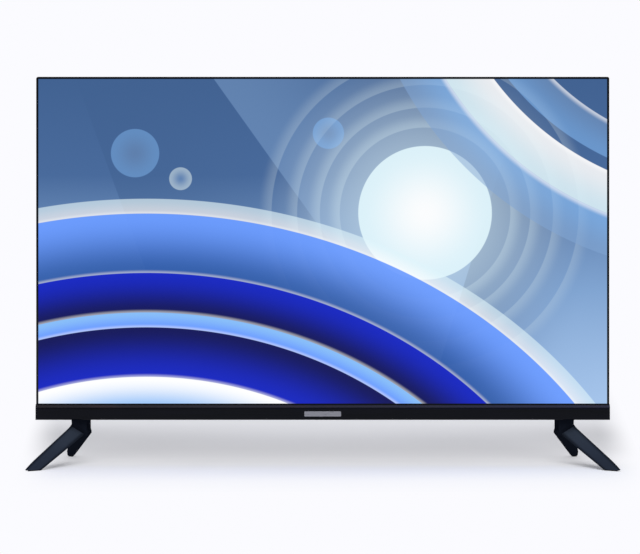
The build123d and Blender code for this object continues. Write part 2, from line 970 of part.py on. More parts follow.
def aerial_socket():
    return round_socket(aerial_z, aerial_wide, aerial_tall, aerial_radius, aerial_bore, aerial_long)


inlet_z = middle((inlet_niche_low, inlet_niche_high))
inlet_y = socket_y + inlet_tall / 2


def eight_shape(radius, x):
    """Two round lobes and the space between them, along X."""
    offset = inlet_pin_pitch / 2
    lobes = rod_x(inlet_y, inlet_z - offset, radius, x) + rod_x(inlet_y, inlet_z + offset, radius, x)
    return lobes + block(x, around(inlet_y, 2 * radius), around(inlet_z, inlet_pin_pitch))


def mains_inlet():
    """The two-pin mains inlet, open to the other side of the set."""
    x = (-niche_face, inlet_deep - niche_face)
    y = (socket_y, socket_y + inlet_tall)
    body = block(x, y, around(inlet_z, inlet_wide))
    body -= eight_shape(inlet_lobe_radius, (x[0] - overrun, x[0] + inlet_cavity))
    pin_x = (x[0] + inlet_cavity - inlet_pin_long, x[0] + inlet_cavity)
    for z in around(inlet_z, inlet_pin_pitch):
        body += rod_x(inlet_y, z, inlet_pin_radius, pin_x)
    return body


def transformer():
    """A ferrite core frame round a wound bobbin."""
    place = power_place(0.60, 0.52)
    core = on_board(place, (core_wide, core_high), core_tall)
    window_y = (board_back + core_leg, board_back + core_tall - core_leg)
    window_x = around(place[0], core_wide - 2 * core_leg)
    core -= block(window_x, window_y, grown(around(place[1], core_high), overrun))
    winding_radius = (window_y[1] - window_y[0]) / 2 - winding_gap
    core += rod_z(place[0], middle(window_y), winding_radius, around(place[1], core_high))
    for z in around(place[1], core_high):
        core += block(window_x, window_y, around(z, core_leg / 2))
    return core


def capacitors():
    x, z = power_place(0.24, 0.56)
    parts = [rod_y(x, z, bulk_radius, (board_back, board_back + bulk_tall))]
    for x_share, z_share in ((0.88, 0.34), (0.88, 0.44), (0.88, 0.70), (0.88, 0.80)):
        x, z = power_place(x_share, z_share)
        parts.append(rod_y(x, z, small_cap_radius, (board_back, board_back + small_cap_tall)))
    x, z = power_place(0.30, 0.24)
    parts.append(on_board((x, z), (core_leg * 3, core_leg * 2), small_cap_tall / 2))
    return group(parts)


def plate_sink(x_share, z_share):
    """A folded aluminium plate standing on the power board."""
    x, z = power_place(x_share, z_share)
    wide = around(x, plate_sink_wide)
    upright = block(wide, (board_back, board_back + plate_sink_tall), around(z, plate_sink_thick))
    top_z = (z - plate_sink_thick / 2, z + coil_side)
    top_y = (board_back + plate_sink_tall - plate_sink_thick, board_back + plate_sink_tall)
    return upright + block(wide, top_y, top_z)


def power_heat_sinks():
    return group([plate_sink(0.28, 0.78), plate_sink(0.62, 0.78)])


def power_board():
    board = circuit_board(power_x, power_z, board_thick, power_places)
    header_span = (board_back, board_back + header_deep)
    side_x = (power_x[1] - clearance - header_high, power_x[1] - clearance)
    board += block(side_x, header_span, around(power_header_z, header_long))
    return board + block(side_x, header_span, around(lamp_header_z, header_long))


def wireless_module():
    thick = board_thick / 2
    board = circuit_board(wireless_x, wireless_z, thick, wireless_places)
    top = board_front + thick
    can_y = (top, top + wireless_can_high)
    centre = (middle(wireless_x), middle(wireless_z))
    return board + block(around(centre[0], wireless_can), can_y, around(centre[1], wireless_can))


# Speakers


def speaker_box():
    """The right-hand speaker's sealed box, open where the driver sits."""
    x = (speaker_inner, speaker_outer)
    z = (speaker_low, speaker_top)
    box = fillet(block(x, (speaker_front, speaker_back), z).edges().filter_by(Axis.Z), speaker_corner)
    hollow_y = (speaker_front + speaker_wall, speaker_back - speaker_wall)
    box -= block(grown(x, -speaker_wall), hollow_y, (z[0] + speaker_wall, z[1] - speaker_wall))
    mouth_x = around(middle(x), cone_long - 2 * speaker_wall)
    mouth_y = around(middle((speaker_front, speaker_back)), cone_wide - 2 * speaker_wall)
    box -= block(mouth_x, mouth_y, (z[0] - overrun, z[0] + overrun))
    for px in ear_x:
        ear_y = (board_front, board_front + ear_thick)
        ear = block(around(px, speaker_ear_wide), ear_y, (z[1] - speaker_wall, z[1] + speaker_ear))
        box += ear - rod_y(px, ear_z, screw_hole_radius, grown(ear_y, overrun))
    return box


def speaker_cones():
    """The drivers: a flange, a dished basket and a magnet."""
    x = middle((speaker_inner, speaker_outer))
    y = middle((speaker_front, speaker_back))
    flange_z = (speaker_low + speaker_wall, speaker_low + speaker_wall + cone_flange)
    driver = block(around(x, cone_long), around(y, cone_wide), flange_z)
    top = flange_z[1] + cone_deep
    mouth = RectangleRounded(cone_long - cone_flange, cone_wide - cone_flange, cone_wide / 3)
    crown = RectangleRounded(cone_wide, cone_wide / 2, cone_wide / 5)
    driver += loft([Pos(x, y, flange_z[1]) * mouth, Pos(x, y, top) * crown])
    driver += rod_z(x, y, magnet_radius, (top - cone_flange, top + magnet_tall))
    dish_mouth = RectangleRounded(cone_long - 4 * cone_flange, cone_wide - 3 * cone_flange, cone_wide / 4)
    dish_floor = RectangleRounded(cone_wide / 2, cone_wide / 3, cone_wide / 7)
    dish = loft([Pos(x, y, flange_z[0]) * dish_mouth, Pos(x, y, top - 2 * cone_flange) * dish_floor])
    return pair(driver - dish)


# Keys


key_flange_back = band_inner_back - clearance
key_flange_front = key_flange_back - key_flange
dome_back = key_flange_front - key_travel - key_stop_gap - clearance
key_board_back = dome_back - dome_high
key_board_front = key_board_back - board_thick
key_boss_z = (key_board_low + key_boss_radius + clearance, key_board_high - key_boss_radius - clearance)


def key(z):
    """A key cap with a hidden flange and a stem that presses its dome."""
    cap_y = (key_flange_front, band_back + key_proud)
    cap = sheet(around(key_x, key_wide), cap_y, around(z, key_high), key_corner)
    flange_y = (key_flange_front, key_flange_back)
    flange = block(around(key_x, key_wide + 2 * key_flange_step), flange_y, around(z, key_high))
    stem_y = (dome_back + key_travel + key_stop_gap, key_flange_front)
    return cap + flange + rod_y(key_x, z, key_stem_radius, stem_y)


def key_board():
    x = around(key_x, key_board_wide)
    y = (key_board_front, key_board_back)
    board = block(x, y, (key_board_low, key_board_high))
    return board - [rod_y(key_x, z, screw_hole_radius, grown(y, overrun)) for z in key_boss_z]


def dome_switches():
    """The snap domes under the keys, each on a square base."""
    switches = []
    base_y = (key_board_back, key_board_back + dome_high / 2)
    for z in key_places:
        base = block(around(key_x, dome_side), base_y, around(z, dome_side))
        switches.append(base + rod_y(key_x, z, dome_radius, (base_y[0], dome_back)))
    return group(switches)


# Rear cover


def low_band(inset):
    half = band_half - inset
    low = body_low + inset
    front = ((-half, half), rim_back + clearance - inset, (low, band_top - inset), cover_corner)
    back_half = half - band_taper
    back_z = (low, band_top - cover_draft - inset)
    shape = tapered(front, ((-back_half, back_half), band_back - inset, back_z, cover_corner))
    return fillet(shape.faces().sort_by(Axis.Y)[-1].edges(), cover_round - inset / 2)


def main_bulge(inset):
    half = bulge_half - inset
    low = body_low + inset
    front = ((-half, half), rim_back + clearance - inset, (low, bulge_top - inset), cover_corner)
    back_half = half - bulge_taper
    back_z = (low, bulge_top - cover_draft - inset)
    shape = tapered(front, ((-back_half, back_half), bulge_back - inset, back_z, cover_corner))
    return fillet(shape.faces().sort_by(Axis.Y)[-1].edges(), cover_round - inset / 2)


def niches(grow):
    """The two recesses in the sides of the bulge, grown by the wall for the inner shape."""
    y = grown((niche_front, niche_back), grow)
    right_x = (niche_face - grow, bulge_half + overrun)
    left_x = mirrored(right_x)
    right = block(right_x, y, grown((niche_low, niche_high), grow))
    return [right, block(left_x, y, grown((inlet_niche_low, inlet_niche_high), grow))]


def vent(x, z, high, y):
    face = upright_plane(x, y - cover_wall - overrun, z) * Rot(0, 0, 90) * SlotOverall(high, slot_width)
    return extrude(face, amount=cover_wall + 2 * overrun, dir=(0, 1, 0))


def vents():
    """Rows of slots for the boards' warm air and for the speakers."""
    row = row_of(vent_count, slot_pitch)
    slots = [vent(x, top_vent_z, top_vent_high, bulge_back) for x in row]
    slots += [vent(x, low_vent_z, low_vent_high, bulge_back) for x in row]
    middle_x = middle((speaker_inner, speaker_outer))
    middle_y = middle((speaker_front, speaker_back))
    span = row_of(grille_count, slot_pitch)
    floor_z = (body_low - overrun, body_low + cover_wall + clearance)
    for side in (-1, 1):
        for x in span:
            wide = around(side * middle_x + x, slot_width)
            slots.append(block(wide, around(middle_y, cone_wide), floor_z))
    return slots


def socket_holes():
    """A hole in the niche walls for every socket."""
    x = (niche_inner - overrun, niche_face + overrun)
    near = 2 * clearance
    holes = []
    for z in video_z:
        holes.append(block(x, (socket_y - near, socket_y + video_tall + near), around(z, video_wide + near)))
    for z in data_z:
        holes.append(block(x, (socket_y - near, socket_y + data_tall + near), around(z, data_wide + near)))
    network_y = (socket_y - near, socket_y + network_tall + near)
    holes.append(block(x, network_y, around(network_z, network_wide + near)))
    for z in jack_z:
        holes.append(rod_x(socket_y + jack_tall / 2, z, jack_radius + clearance, x))
    holes.append(rod_x(socket_y + aerial_tall / 2, aerial_z, aerial_radius + clearance, x))
    inlet_span = (socket_y - near, socket_y + inlet_tall + near)
    holes.append(block(mirrored(x), inlet_span, around(inlet_z, inlet_wide + near)))
    return holes


def tower_y(base, back):
    return (base + post_height + clearance, back)


tower_sets = [
    (band_places, pan_back, band_back),
    (top_places, pan_back, bulge_back),
    (low_places, rim_back, bulge_back),
]


def rear_cover():
    """The plastic cover over the boards: one shell with ports, vents and wells."""
    pan_shape = tray(rim_front, pan_back, pan_sheet / 2 + clearance)
    cover = (low_band(0) + main_bulge(0)) - niches(0)
    cover -= (low_band(cover_wall) + main_bulge(cover_wall)) - niches(cover_wall)
    for places, base, back in tower_sets:
        cover += [rod_y(x, z, tower_radius, tower_y(base, back)) for x, z in places]
    for z in key_boss_z:
        cover += rod_y(key_x, z, key_boss_radius, (key_board_back, band_back - cover_wall / 2))
    cuts = [pan_shape]
    for places, base, back in tower_sets:
        floor = tower_y(base, back)[0] + tower_floor
        cuts += [rod_y(x, z, well_radius, (floor, back + overrun)) for x, z in places]
        cuts += [rod_y(x, z, screw_hole_radius, (base, floor + overrun)) for x, z in places]
    hole_y = (bulge_back - cover_wall - overrun, bulge_back + overrun)
    cuts += [rod_y(x, z, standoff_radius + clearance, hole_y) for x, z in mount_places]
    driver_y = (band_inner_back - overrun, band_back + overrun)
    for x, z in foot_screw_places:
        driver_hole = rod_y(x, z, driver_radius, driver_y)
        cuts += [driver_hole, mirror(driver_hole, about=Plane.YZ)]
    floor_z = (body_low - overrun, body_low + cover_wall + clearance)
    tenon_hole = block(grown(tenon_x, clearance), grown(tenon_y, clearance), floor_z)
    cuts += [tenon_hole, mirror(tenon_hole, about=Plane.YZ)]
    cap_y = (band_inner_back - clearance, band_back + overrun)
    for z in key_places:
        hole = (around(key_x, key_wide + 2 * clearance), cap_y, around(z, key_high + 2 * clearance))
        cuts.append(sheet(*hole, key_corner + clearance))
    boss_tip = key_board_back + screw_bite + clearance
    cuts += [rod_y(key_x, z, screw_hole_radius, (key_board_front, boss_tip)) for z in key_boss_z]
    lip_y = (rim_front - overrun, frame_rear + clearance)
    cuts.append(block((-half_width, half_width), lip_y, (body_low - overrun, body_low + cover_wall)))
    return cover - cuts - socket_holes() - vents()


def cover_screws():
    screws = []
    for places, base, back in tower_sets:
        seat = tower_y(base, back)[0] + tower_floor
        length = tower_floor + clearance + screw_bite
        screws += [screw(x, z, seat, length) for x, z in places]
    return group(screws)


def board_screws():
    """The screws of the boards, the speaker ears and the key board."""
    screws = [screw(x, z, board_back, board_thick + screw_bite) for x, z in board_places]
    wireless_back = board_front + board_thick / 2
    screws += [screw(x, z, wireless_back, board_thick / 2 + screw_bite) for x, z in wireless_places]
    screws += [screw(x, z, board_front + ear_thick, ear_thick + screw_bite) for x, z in ear_places]
    screws += [screw(key_x, z, key_board_front, board_thick + screw_bite, 1) for z in key_boss_z]
    return group(screws)


def wall_mount_standoffs():
    """Four threaded steel posts that a wall bracket bolts to."""
    posts = []
    bore_y = (bulge_back - mount_bore_deep, bulge_back + overrun)
    for x, z in mount_places:
        body = rod_y(x, z, standoff_radius, (pan_back, bulge_back))
        posts.append(body - rod_y(x, z, mount_bore_radius, bore_y))
    return group(posts)


# Stand


def slab(first, second, third, thick):
    """A flat layer whose upper face passes through three points."""
    across = Vector(*second) - Vector(*first)
    along = Vector(*third) - Vector(*first)
    normal = across.cross(along).normalized()
    if normal.Z < 0:
        normal = -normal
    size = set_width
    return Plane(origin=first, z_dir=normal) * Pos(0, 0, -thick / 2) * Box(size, size, thick)


def front_leg():
    """The front view's outline of the leg, cut from a leaning flat layer."""
    top = leg_height - clearance
    start = (sole_outer, pad_thick)
    points = [start, (sole_inner, pad_thick), (neck_inner + edge_step, edge_z)]
    points += [(neck_inner + edge_step, top), (ridge_bend_x, top), (ridge_bend_x, ridge_bend_z)]
    ridge = (ridge_start_x, ridge_start_z)
    shoulder = (tip_shoulder_x, tip_shoulder_z)
    slope = (tip_shoulder_x - ridge_start_x, tip_shoulder_z - ridge_start_z)
    outline = Polyline(*points)
    outline += TangentArc(ridge, points[-1], tangent=(-slope[0], -slope[1]))
    outline += Line(ridge, shoulder)
    outline += TangentArc(shoulder, (tip_x, tip_z), tangent=slope)
    outline += Line((tip_x, tip_z), start)
    prism = extrude(Plane.XZ * make_face(outline), amount=half_width, both=True)
    first = (neck_outer + ridge_step, neck_front, ridge_z)
    second = (neck_inner + edge_step, neck_front, edge_z)
    leg = prism & slab(first, second, (tip_x, tip_y, tip_z), leg_thick)
    return leg & block((0, set_width), (tip_y, neck_back), (0, leg_height))


def rear_leg():
    top = leg_height - clearance
    points = [
        (rear_sole_inner, pad_thick),
        (rear_sole_outer, pad_thick),
        (rear_ankle_x, rear_ankle_z),
        (neck_outer, rear_ridge_z),
        (neck_outer, top),
        (neck_inner, top),
        (neck_inner - knee_step, rear_edge_z + knee_step),
    ]
    prism = extrude(Plane.XZ * make_face(Polyline(*points, close=True)), amount=half_width, both=True)
    first = (neck_outer, neck_back, rear_ridge_z)
    second = (neck_inner, neck_back, rear_edge_z)
    leg = prism & slab(first, second, (rear_ankle_x, rear_tip_y, rear_ankle_z), rear_leg_thick)
    return leg & block((0, set_width), (neck_front, rear_tip_y), (0, leg_height))


def neck():
    """The upright block under the set, with a low swelling inside and a slanting facet in front."""
    top = leg_height - clearance
    points = [
        (neck_outer, neck_low),
        (neck_outer, top),
        (neck_inner, top),
        (neck_inner, knee_high),
        (neck_inner - knee_step, knee_mid),
        (neck_inner - knee_step, rear_edge_z + knee_step),
        (neck_inner, neck_low),
    ]
    outline = Plane.XZ.offset(-neck_front) * make_face(Polyline(*points, close=True))
    body = extrude(outline, amount=neck_back - neck_front, dir=(0, 1, 0))
    first = (neck_outer, neck_front, top)
    second = (neck_inner + edge_step, neck_front, neck_facet_low)
    third = (neck_outer, neck_front + neck_facet_deep, ridge_z)
    return body - front_of(first, second, third)


def front_of(first, second, third):
    """The space in front of a plane through three points."""
    normal = (Vector(*second) - Vector(*first)).cross(Vector(*third) - Vector(*first)).normalized()
    if normal.Y > 0:
        normal = -normal
    return Plane(origin=first, z_dir=normal) * Pos(0, 0, half_width) * Box(set_width, set_width, set_width)


def right_foot():
    """Neck, two legs and a tenon that slides up into its bracket."""
    foot = neck() + front_leg() + rear_leg()
    foot += block(tenon_x, tenon_y, (neck_low, tenon_high))
    hole_y = (tenon_back - 2 * screw_bite, tenon_back + overrun)
    return foot - [rod_y(x, z, screw_hole_radius, hole_y) for x, z in foot_screw_places]


def foot_pads(foot):
    """A rubber pad under each sole of one foot."""
    soles = foot.faces().filter_by(Axis.Z).group_by(Axis.Z)[0]
    return [extrude(offset(face, -pad_inset), amount=pad_thick, dir=(0, 0, -1)) for face in soles]


def stand_bracket():
    """A welded steel socket behind the pan that takes the foot's tenon."""
    y = (pan_back, bracket_back)
    low = body_low + cover_wall + clearance
    top = tenon_high + clearance + bracket_wall
    body = block(bracket_x, y, (low, top))
    body += block(bracket_x, (pan_back, pan_back + bracket_wall), (low, bracket_high))
    cavity_z = (low - overrun, tenon_high + clearance)
    body -= block(grown(tenon_x, clearance), grown(tenon_y, clearance), cavity_z)
    hole_y = (tenon_back, bracket_back + overrun)
    return body - [rod_y(x, z, screw_hole_radius, hole_y) for x, z in foot_screw_places]


def foot_screw(x, z):
    return screw(x, z, bracket_back, bracket_wall + clearance + screw_bite)


# Leads


lamp_lead_x = -58.0
lamp_lead_z = strip_places[0]
run_share = 0.45


def lead(points, radius):
    """A round lead on straight runs and arcs, each arc as large as its runs allow."""
    path = [Vector(*p) for p in points]
    radii = []
    for before, corner, after in zip(path, path[1:], path[2:]):
        turn = math.radians((corner - before).get_angle(after - corner))
        run = min((corner - before).length, (after - corner).length)
        radii.append(run_share * run / math.tan(turn / 2))
    print("lead radii", [round(r, 1) for r in radii])
    wire = FilletPolyline(*path, radius=radii)
    start = Plane(origin=wire @ 0, z_dir=wire % 0)
    tube = sweep(start * Circle(radius), path=wire)
    print("lead volume share", round(tube.volume / (math.pi * radius**2 * wire.length), 4))
    return tube


right_speaker_route = [
    (242, 26, 99.7), (242, 26, 112), (230, 25, 121), (211, 23, 120),
    (186, 22, 122), (166, 21, 121), (152.5, 20.2, 126.5), (150.6, 20.05, 133.5), (150.6, 20.05, 140.3),
]
left_speaker_route = [
    (-242, 26, 99.7), (-242, 26, 112), (-228, 24, 122), (-196, 22, 119),
    (-150, 19, 125), (-98, 20, 121), (-44, 18, 129), (12, 20, 124), (66, 19, 128),
    (104, 27, 124), (131, 25, 120), (144.5, 21, 126), (146.6, 20.05, 133.5), (146.6, 20.05, 140.3),
]
key_route = [
    (327, 34.7, 111), (327, 27, 111), (319, 21.5, 114), (303, 21.5, 121), (283, 22.5, 126.5),
    (255, 21.3, 125.5), (228, 22.5, 126), (204, 21, 123), (188, 20.5, 126), (182.06, 20.05, 133),
    (182.06, 20.05, 140.3),
]
power_route = [
    (-78.3, 20.05, 195.8), (-62, 20.05, 195.8), (-36, 23, 204), (2, 20, 212),
    (38, 23, 205), (62, 20.05, 195.8), (78.3, 20.05, 195.8),
]
lamp_route = [
    (-78.3, 20.05, 169.5), (-68.5, 20.05, 169.5), (-60, 22.5, 163.5), (-58, 18.2, 154.2), (-58, 8.9, 154.2),
]


def speaker_leads():
    return group([lead(left_speaker_route, thin_lead), lead(right_speaker_route, thin_lead)])


def key_lead():
    return lead(key_route, thin_lead)


def power_lead():
    return lead(power_route, thick_lead)


def backlight_lead():
    return lead(lamp_route, thin_lead)


def panel_ribbon():
    """The flat ribbon from the source board, under the pan and up to the main board."""
    turn_y = header_y
    end_z = main_low + clearance
    path = FilletPolyline((ledge_front, ribbon_z), (turn_y, ribbon_z), (turn_y, end_z), radius=ribbon_bend)
    face = trace(path, line_width=ribbon_thick)
    flat = Plane.YZ.offset(ribbon_x[0]) * face
    return extrude(flat, amount=ribbon_wide, dir=(1, 0, 0))


def main():
    nodes = {
        "middle_frame": middle_frame(),
        "front_polarizer": front_polarizer(),
        "lcd_cell": lcd_cell(),
        "panel_foam": panel_foam(),
        "prism_sheet": backlight_sheet(ledge_back, prism_back),
        "diffuser_film": backlight_sheet(prism_back, film_back),
        "diffuser_plate": backlight_sheet(film_back, plate_back),
        "reflector_sheet": reflector_sheet(),
        "led_lenses": led_lenses(),
        "diffuser_posts": diffuser_posts(),
        "back_pan": back_pan(),
        "chin_cover": chin_cover(),
        "badge_plate": badge_plate(),
        "source_board": source_board(),
        "source_flexes": source_flexes(),
        "panel_ribbon": panel_ribbon(),
        "receiver_board": receiver_board(),
        "main_board": circuit_board(main_x, main_z, board_thick, main_places),
        "board_chips": board_chips(),
        "heat_sink": heat_sink(),
        "tuner_can": tuner_can(),
        "video_sockets": video_sockets(),
        "data_sockets": data_sockets(),
        "network_socket": network_socket(),
        "av_jacks": av_jacks(),
        "aerial_socket": aerial_socket(),
        "power_board": power_board(),
        "transformer": transformer(),
        "capacitors": capacitors(),
        "power_heat_sinks": power_heat_sinks(),
        "mains_inlet": mains_inlet(),
        "wireless_module": wireless_module(),
        "speaker_right": speaker_box(),
        "speaker_left": mirror(speaker_box(), about=Plane.YZ),
        "speaker_cones": speaker_cones(),
        "key_board": key_board(),
        "dome_switches": dome_switches(),
        "rear_cover": rear_cover(),
        "cover_screws": cover_screws(),
        "board_screws": board_screws(),
        "wall_mount_standoffs": wall_mount_standoffs(),
        "stand_brackets": pair(stand_bracket()),
        "stand_screws": group([foot_screw(side * x, z) for side in (-1, 1) for x, z in foot_screw_places]),
        "speaker_leads": speaker_leads(),
        "key_lead": key_lead(),
        "power_lead": power_lead(),
        "backlight_lead": backlight_lead(),
    }
    foot = right_foot()
    pads = foot_pads(foot)
    nodes["stand_foot_right"] = foot
    nodes["stand_foot_left"] = mirror(foot, about=Plane.YZ)
    nodes["foot_pads"] = group(pads + [mirror(pad, about=Plane.YZ) for pad in pads])
    for name, z in zip(strip_names, strip_places):
        nodes["led_strip_" + name] = led_strip(z)
    for name, z in zip(key_names, key_places):
        nodes["key_" + name] = key(z)
    for name, shape in nodes.items():
        export_step(shape, f"parts/{name}.step")
    print(len(nodes), "nodes")


main()
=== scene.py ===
# %% [markdown]
# # A flat screen tv, dressed for the camera
# The set's solids come from its drawing, in metres, with z up and the stand's
# feet on z = 0.  This file never moves them.  It gives each one its finish,
# softens the moulded edges, adds the small raised marks that a moulding tool
# leaves, and puts a floor, soft lamps and a camera round the set.

# %% Load the frame
import json
import math
import bmesh
import bpy
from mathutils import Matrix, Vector

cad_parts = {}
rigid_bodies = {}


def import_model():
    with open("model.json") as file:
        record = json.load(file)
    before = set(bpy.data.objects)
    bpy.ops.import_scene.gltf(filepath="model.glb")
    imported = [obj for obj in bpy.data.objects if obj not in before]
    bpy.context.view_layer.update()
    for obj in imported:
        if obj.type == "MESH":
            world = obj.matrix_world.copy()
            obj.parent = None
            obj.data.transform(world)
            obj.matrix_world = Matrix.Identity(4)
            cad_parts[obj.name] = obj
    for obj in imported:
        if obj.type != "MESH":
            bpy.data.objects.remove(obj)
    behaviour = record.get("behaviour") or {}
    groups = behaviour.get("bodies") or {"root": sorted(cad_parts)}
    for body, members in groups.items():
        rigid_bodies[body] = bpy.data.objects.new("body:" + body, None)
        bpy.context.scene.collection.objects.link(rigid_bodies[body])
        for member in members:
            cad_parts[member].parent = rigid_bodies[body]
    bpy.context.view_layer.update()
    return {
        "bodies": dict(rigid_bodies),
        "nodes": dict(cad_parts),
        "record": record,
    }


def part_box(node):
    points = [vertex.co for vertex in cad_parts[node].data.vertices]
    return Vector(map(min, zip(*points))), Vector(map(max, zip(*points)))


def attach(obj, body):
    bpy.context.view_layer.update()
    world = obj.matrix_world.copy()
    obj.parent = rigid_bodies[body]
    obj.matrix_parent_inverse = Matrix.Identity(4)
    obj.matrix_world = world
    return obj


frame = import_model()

nodes = frame["nodes"]
root_body = next(name for name in frame["bodies"] if not name.endswith("_cap"))

# %% [markdown]
# ## Where the eye stands
# The photograph looks square at the glass from about two metres, with a long
# lens, so that the set's sides hardly open.  The eye is level and a little under
# the middle of the picture: the under side of the chin stays hidden, and both
# feet show their front faces.

# %% The camera
EYE = Vector((-0.0034, -2.0985, 0.2344))
LENS = 93.8
SENSOR = 36.0


def stand_camera():
    camera = bpy.data.objects.new("eye", bpy.data.cameras.new("eye"))
    camera.data.lens = LENS
    camera.data.sensor_width = SENSOR
    camera.location = EYE
    camera.rotation_euler = (math.pi / 2, 0, 0)
    bpy.context.scene.collection.objects.link(camera)
    bpy.context.scene.camera = camera
    return camera


camera = stand_camera()
bpy.context.scene.view_settings.view_transform = "Standard"
print("camera:", camera.location, "lens:", camera.data.lens)

# %% [markdown]
# ## Sums on sockets
# A finish is a small formula: a grain here, a tint there, one laid over the
# other by a mask.  Wiring each sum by hand hides the formula, so this class
# wraps a socket and lets Python's own signs add the Math nodes.  Values go
# through Math, colours through Mix, and directions through Vector Math.

# %% The wire
class Wire:
    """One socket, in its node tree, that takes part in Python's sums."""

    def __init__(self, tree, socket=None):
        self.tree = tree
        self.socket = socket

    def node(self, kind, settings=None, values=None, output=0):
        """Adds any node, with its settings first, and gives a wire from one of its outputs."""
        made = self.tree.nodes.new(kind)
        for name, setting in (settings or {}).items():
            if name == "stops":
                fill_ramp(made.color_ramp, setting)
            else:
                setattr(made, name, setting)
        for key, value in (values or {}).items():
            if isinstance(value, Wire):
                self.tree.links.new(value.socket, made.inputs[key])
            else:
                made.inputs[key].default_value = value
        return Wire(self.tree, made.outputs[output])

    def math(self, operation, *values):
        return self.node("ShaderNodeMath", {"operation": operation}, dict(enumerate(values)))

    def __add__(self, other):
        return self.math("ADD", self, other)

    def __radd__(self, other):
        return self.math("ADD", other, self)

    def __sub__(self, other):
        return self.math("SUBTRACT", self, other)

    def __rsub__(self, other):
        return self.math("SUBTRACT", other, self)

    def __mul__(self, other):
        return self.math("MULTIPLY", self, other)

    def __rmul__(self, other):
        return self.math("MULTIPLY", other, self)

    def __truediv__(self, other):
        return self.math("DIVIDE", self, other)

    def __rtruediv__(self, other):
        return self.math("DIVIDE", other, self)

    def __pow__(self, other):
        return self.math("POWER", self, other)

    def __rpow__(self, other):
        return self.math("POWER", other, self)

    def __abs__(self):
        return self.math("ABSOLUTE", self)

    def clamp(self):
        return self.node("ShaderNodeClamp", None, {"Value": self})

    def part(self, axis):
        """One part of a direction or a place: X, Y or Z."""
        return self.node("ShaderNodeSeparateXYZ", None, {0: self}, axis)

    def solid(self, colour):
        """A wire that carries one colour."""
        made = self.node("ShaderNodeRGB")
        made.socket.default_value = colour
        return made

    def stretch(self, by):
        """A direction or place, each part times its own number."""
        return self.node("ShaderNodeVectorMath", {"operation": "MULTIPLY"}, {0: self, 1: by})

    def tint(self, factor, other):
        """This colour, going over to another one as factor goes from 0 to 1."""
        values = {"Factor": factor, 6: self, 7: other}
        return self.node("ShaderNodeMix", {"data_type": "RGBA"}, values, 2)


def fill_ramp(ramp, stops):
    """Gives a colour ramp its stops, each a place and a colour."""
    while len(ramp.elements) < len(stops):
        ramp.elements.new(1.0)
    for element, (place, colour) in zip(ramp.elements, stops):
        element.position = place
        element.color = colour


print("signs on a wire:", [name for name in vars(Wire) if name.startswith("__r")])

# %% [markdown]
# ## Colours as they are read off a swatch
# A swatch is read as six hex digits, which are for the screen.  Light is summed
# in linear values, so every colour passes through one small conversion.

# %% Colours
SRGB_KNEE = 0.04045
SRGB_SLOPE = 12.92
SRGB_OFFSET = 0.055
SRGB_POWER = 2.4


def linear(channel):
    """One screen value, from 0 to 1, as an amount of light."""
    if channel <= SRGB_KNEE:
        return channel / SRGB_SLOPE
    return ((channel + SRGB_OFFSET) / (1 + SRGB_OFFSET)) ** SRGB_POWER


def swatch(hex_digits):
    """Six hex digits as a linear colour, fully opaque."""
    channels = [int(hex_digits[start:start + 2], 16) / 255 for start in (0, 2, 4)]
    return tuple(linear(channel) for channel in channels) + (1.0,)


PAPER = swatch("fbfbff")
print("paper white, linear:", [round(channel, 3) for channel in PAPER])

# %% [markdown]
# ## A finish from its parts
# Every finish below starts the same way: a new material with one Principled
# shader, and a wire that reads each point's own place on the set, in metres.
# What is even over the surface is set on the shader's socket, and what changes
# over it is wired.

# %% The start of a finish
finishes = {}


def start_finish(name, **even):
    """Starts a material, and gives a wire to its tree, its shader and each point's place."""
    material = bpy.data.materials.new(name)
    material.use_nodes = True
    tree = material.node_tree
    shader = tree.nodes["Principled BSDF"]
    for socket_name, value in even.items():
        shader.inputs[socket_name.replace("_", " ")].default_value = value
    finishes[name] = material
    wire = Wire(tree)
    place = wire.node("ShaderNodeTexCoord", None, None, "Object")
    return wire, shader, place


def feed(wire, shader, **varying):
    """Wires what changes over the surface into the shader's sockets."""
    for socket_name, value in varying.items():
        wire.tree.links.new(value.socket, shader.inputs[socket_name.replace("_", " ")])


def grain(place, per_metre, detail=2.0, roughness=0.5):
    """Soft random grain, from 0 to 1, with so many swells to the metre."""
    values = {"Vector": place, "Scale": per_metre, "Detail": detail, "Roughness": roughness}
    return place.node("ShaderNodeTexNoise", None, values, "Fac")


def smooth(value):
    """A value from 0 to 1 with its ends eased."""
    held = value.clamp()
    return held * held * (3 - held * 2)


def bumped(height, deep):
    """A normal from a height that goes from 0 to 1, deep in metres."""
    return height.node("ShaderNodeBump", None, {"Height": height, "Distance": deep, "Strength": 1.0})


print("finish helpers ready")

# %% [markdown]
# ## Moulded plastic
# The frame, the chin, the feet, the keys and the rear cover are all moulded
# from one family of plastic, and differ in colour, in gloss and in the grain
# that was etched into the steel of the mould.  So one function makes the frame,
# the keys, the rear cover and the other plain mouldings; the chin and the feet
# get finishes of their own below.
# The colour drifts by a hair over a hand's width, the gloss drifts with it as
# on a handled moulding, and the etched grain is a fine bump.

# %% Moulded plastics
DRIFT_PER_METRE = 9.0
DRIFT_SHARE = 0.6
DRIFT_GLOSS = 0.10
ETCH_DETAIL = 3.0
ETCH_ROUGHNESS = 0.6
SPECK_CONTRAST = 2.0
SPECK_START = 0.5
SPECK_GLOSS = 0.06


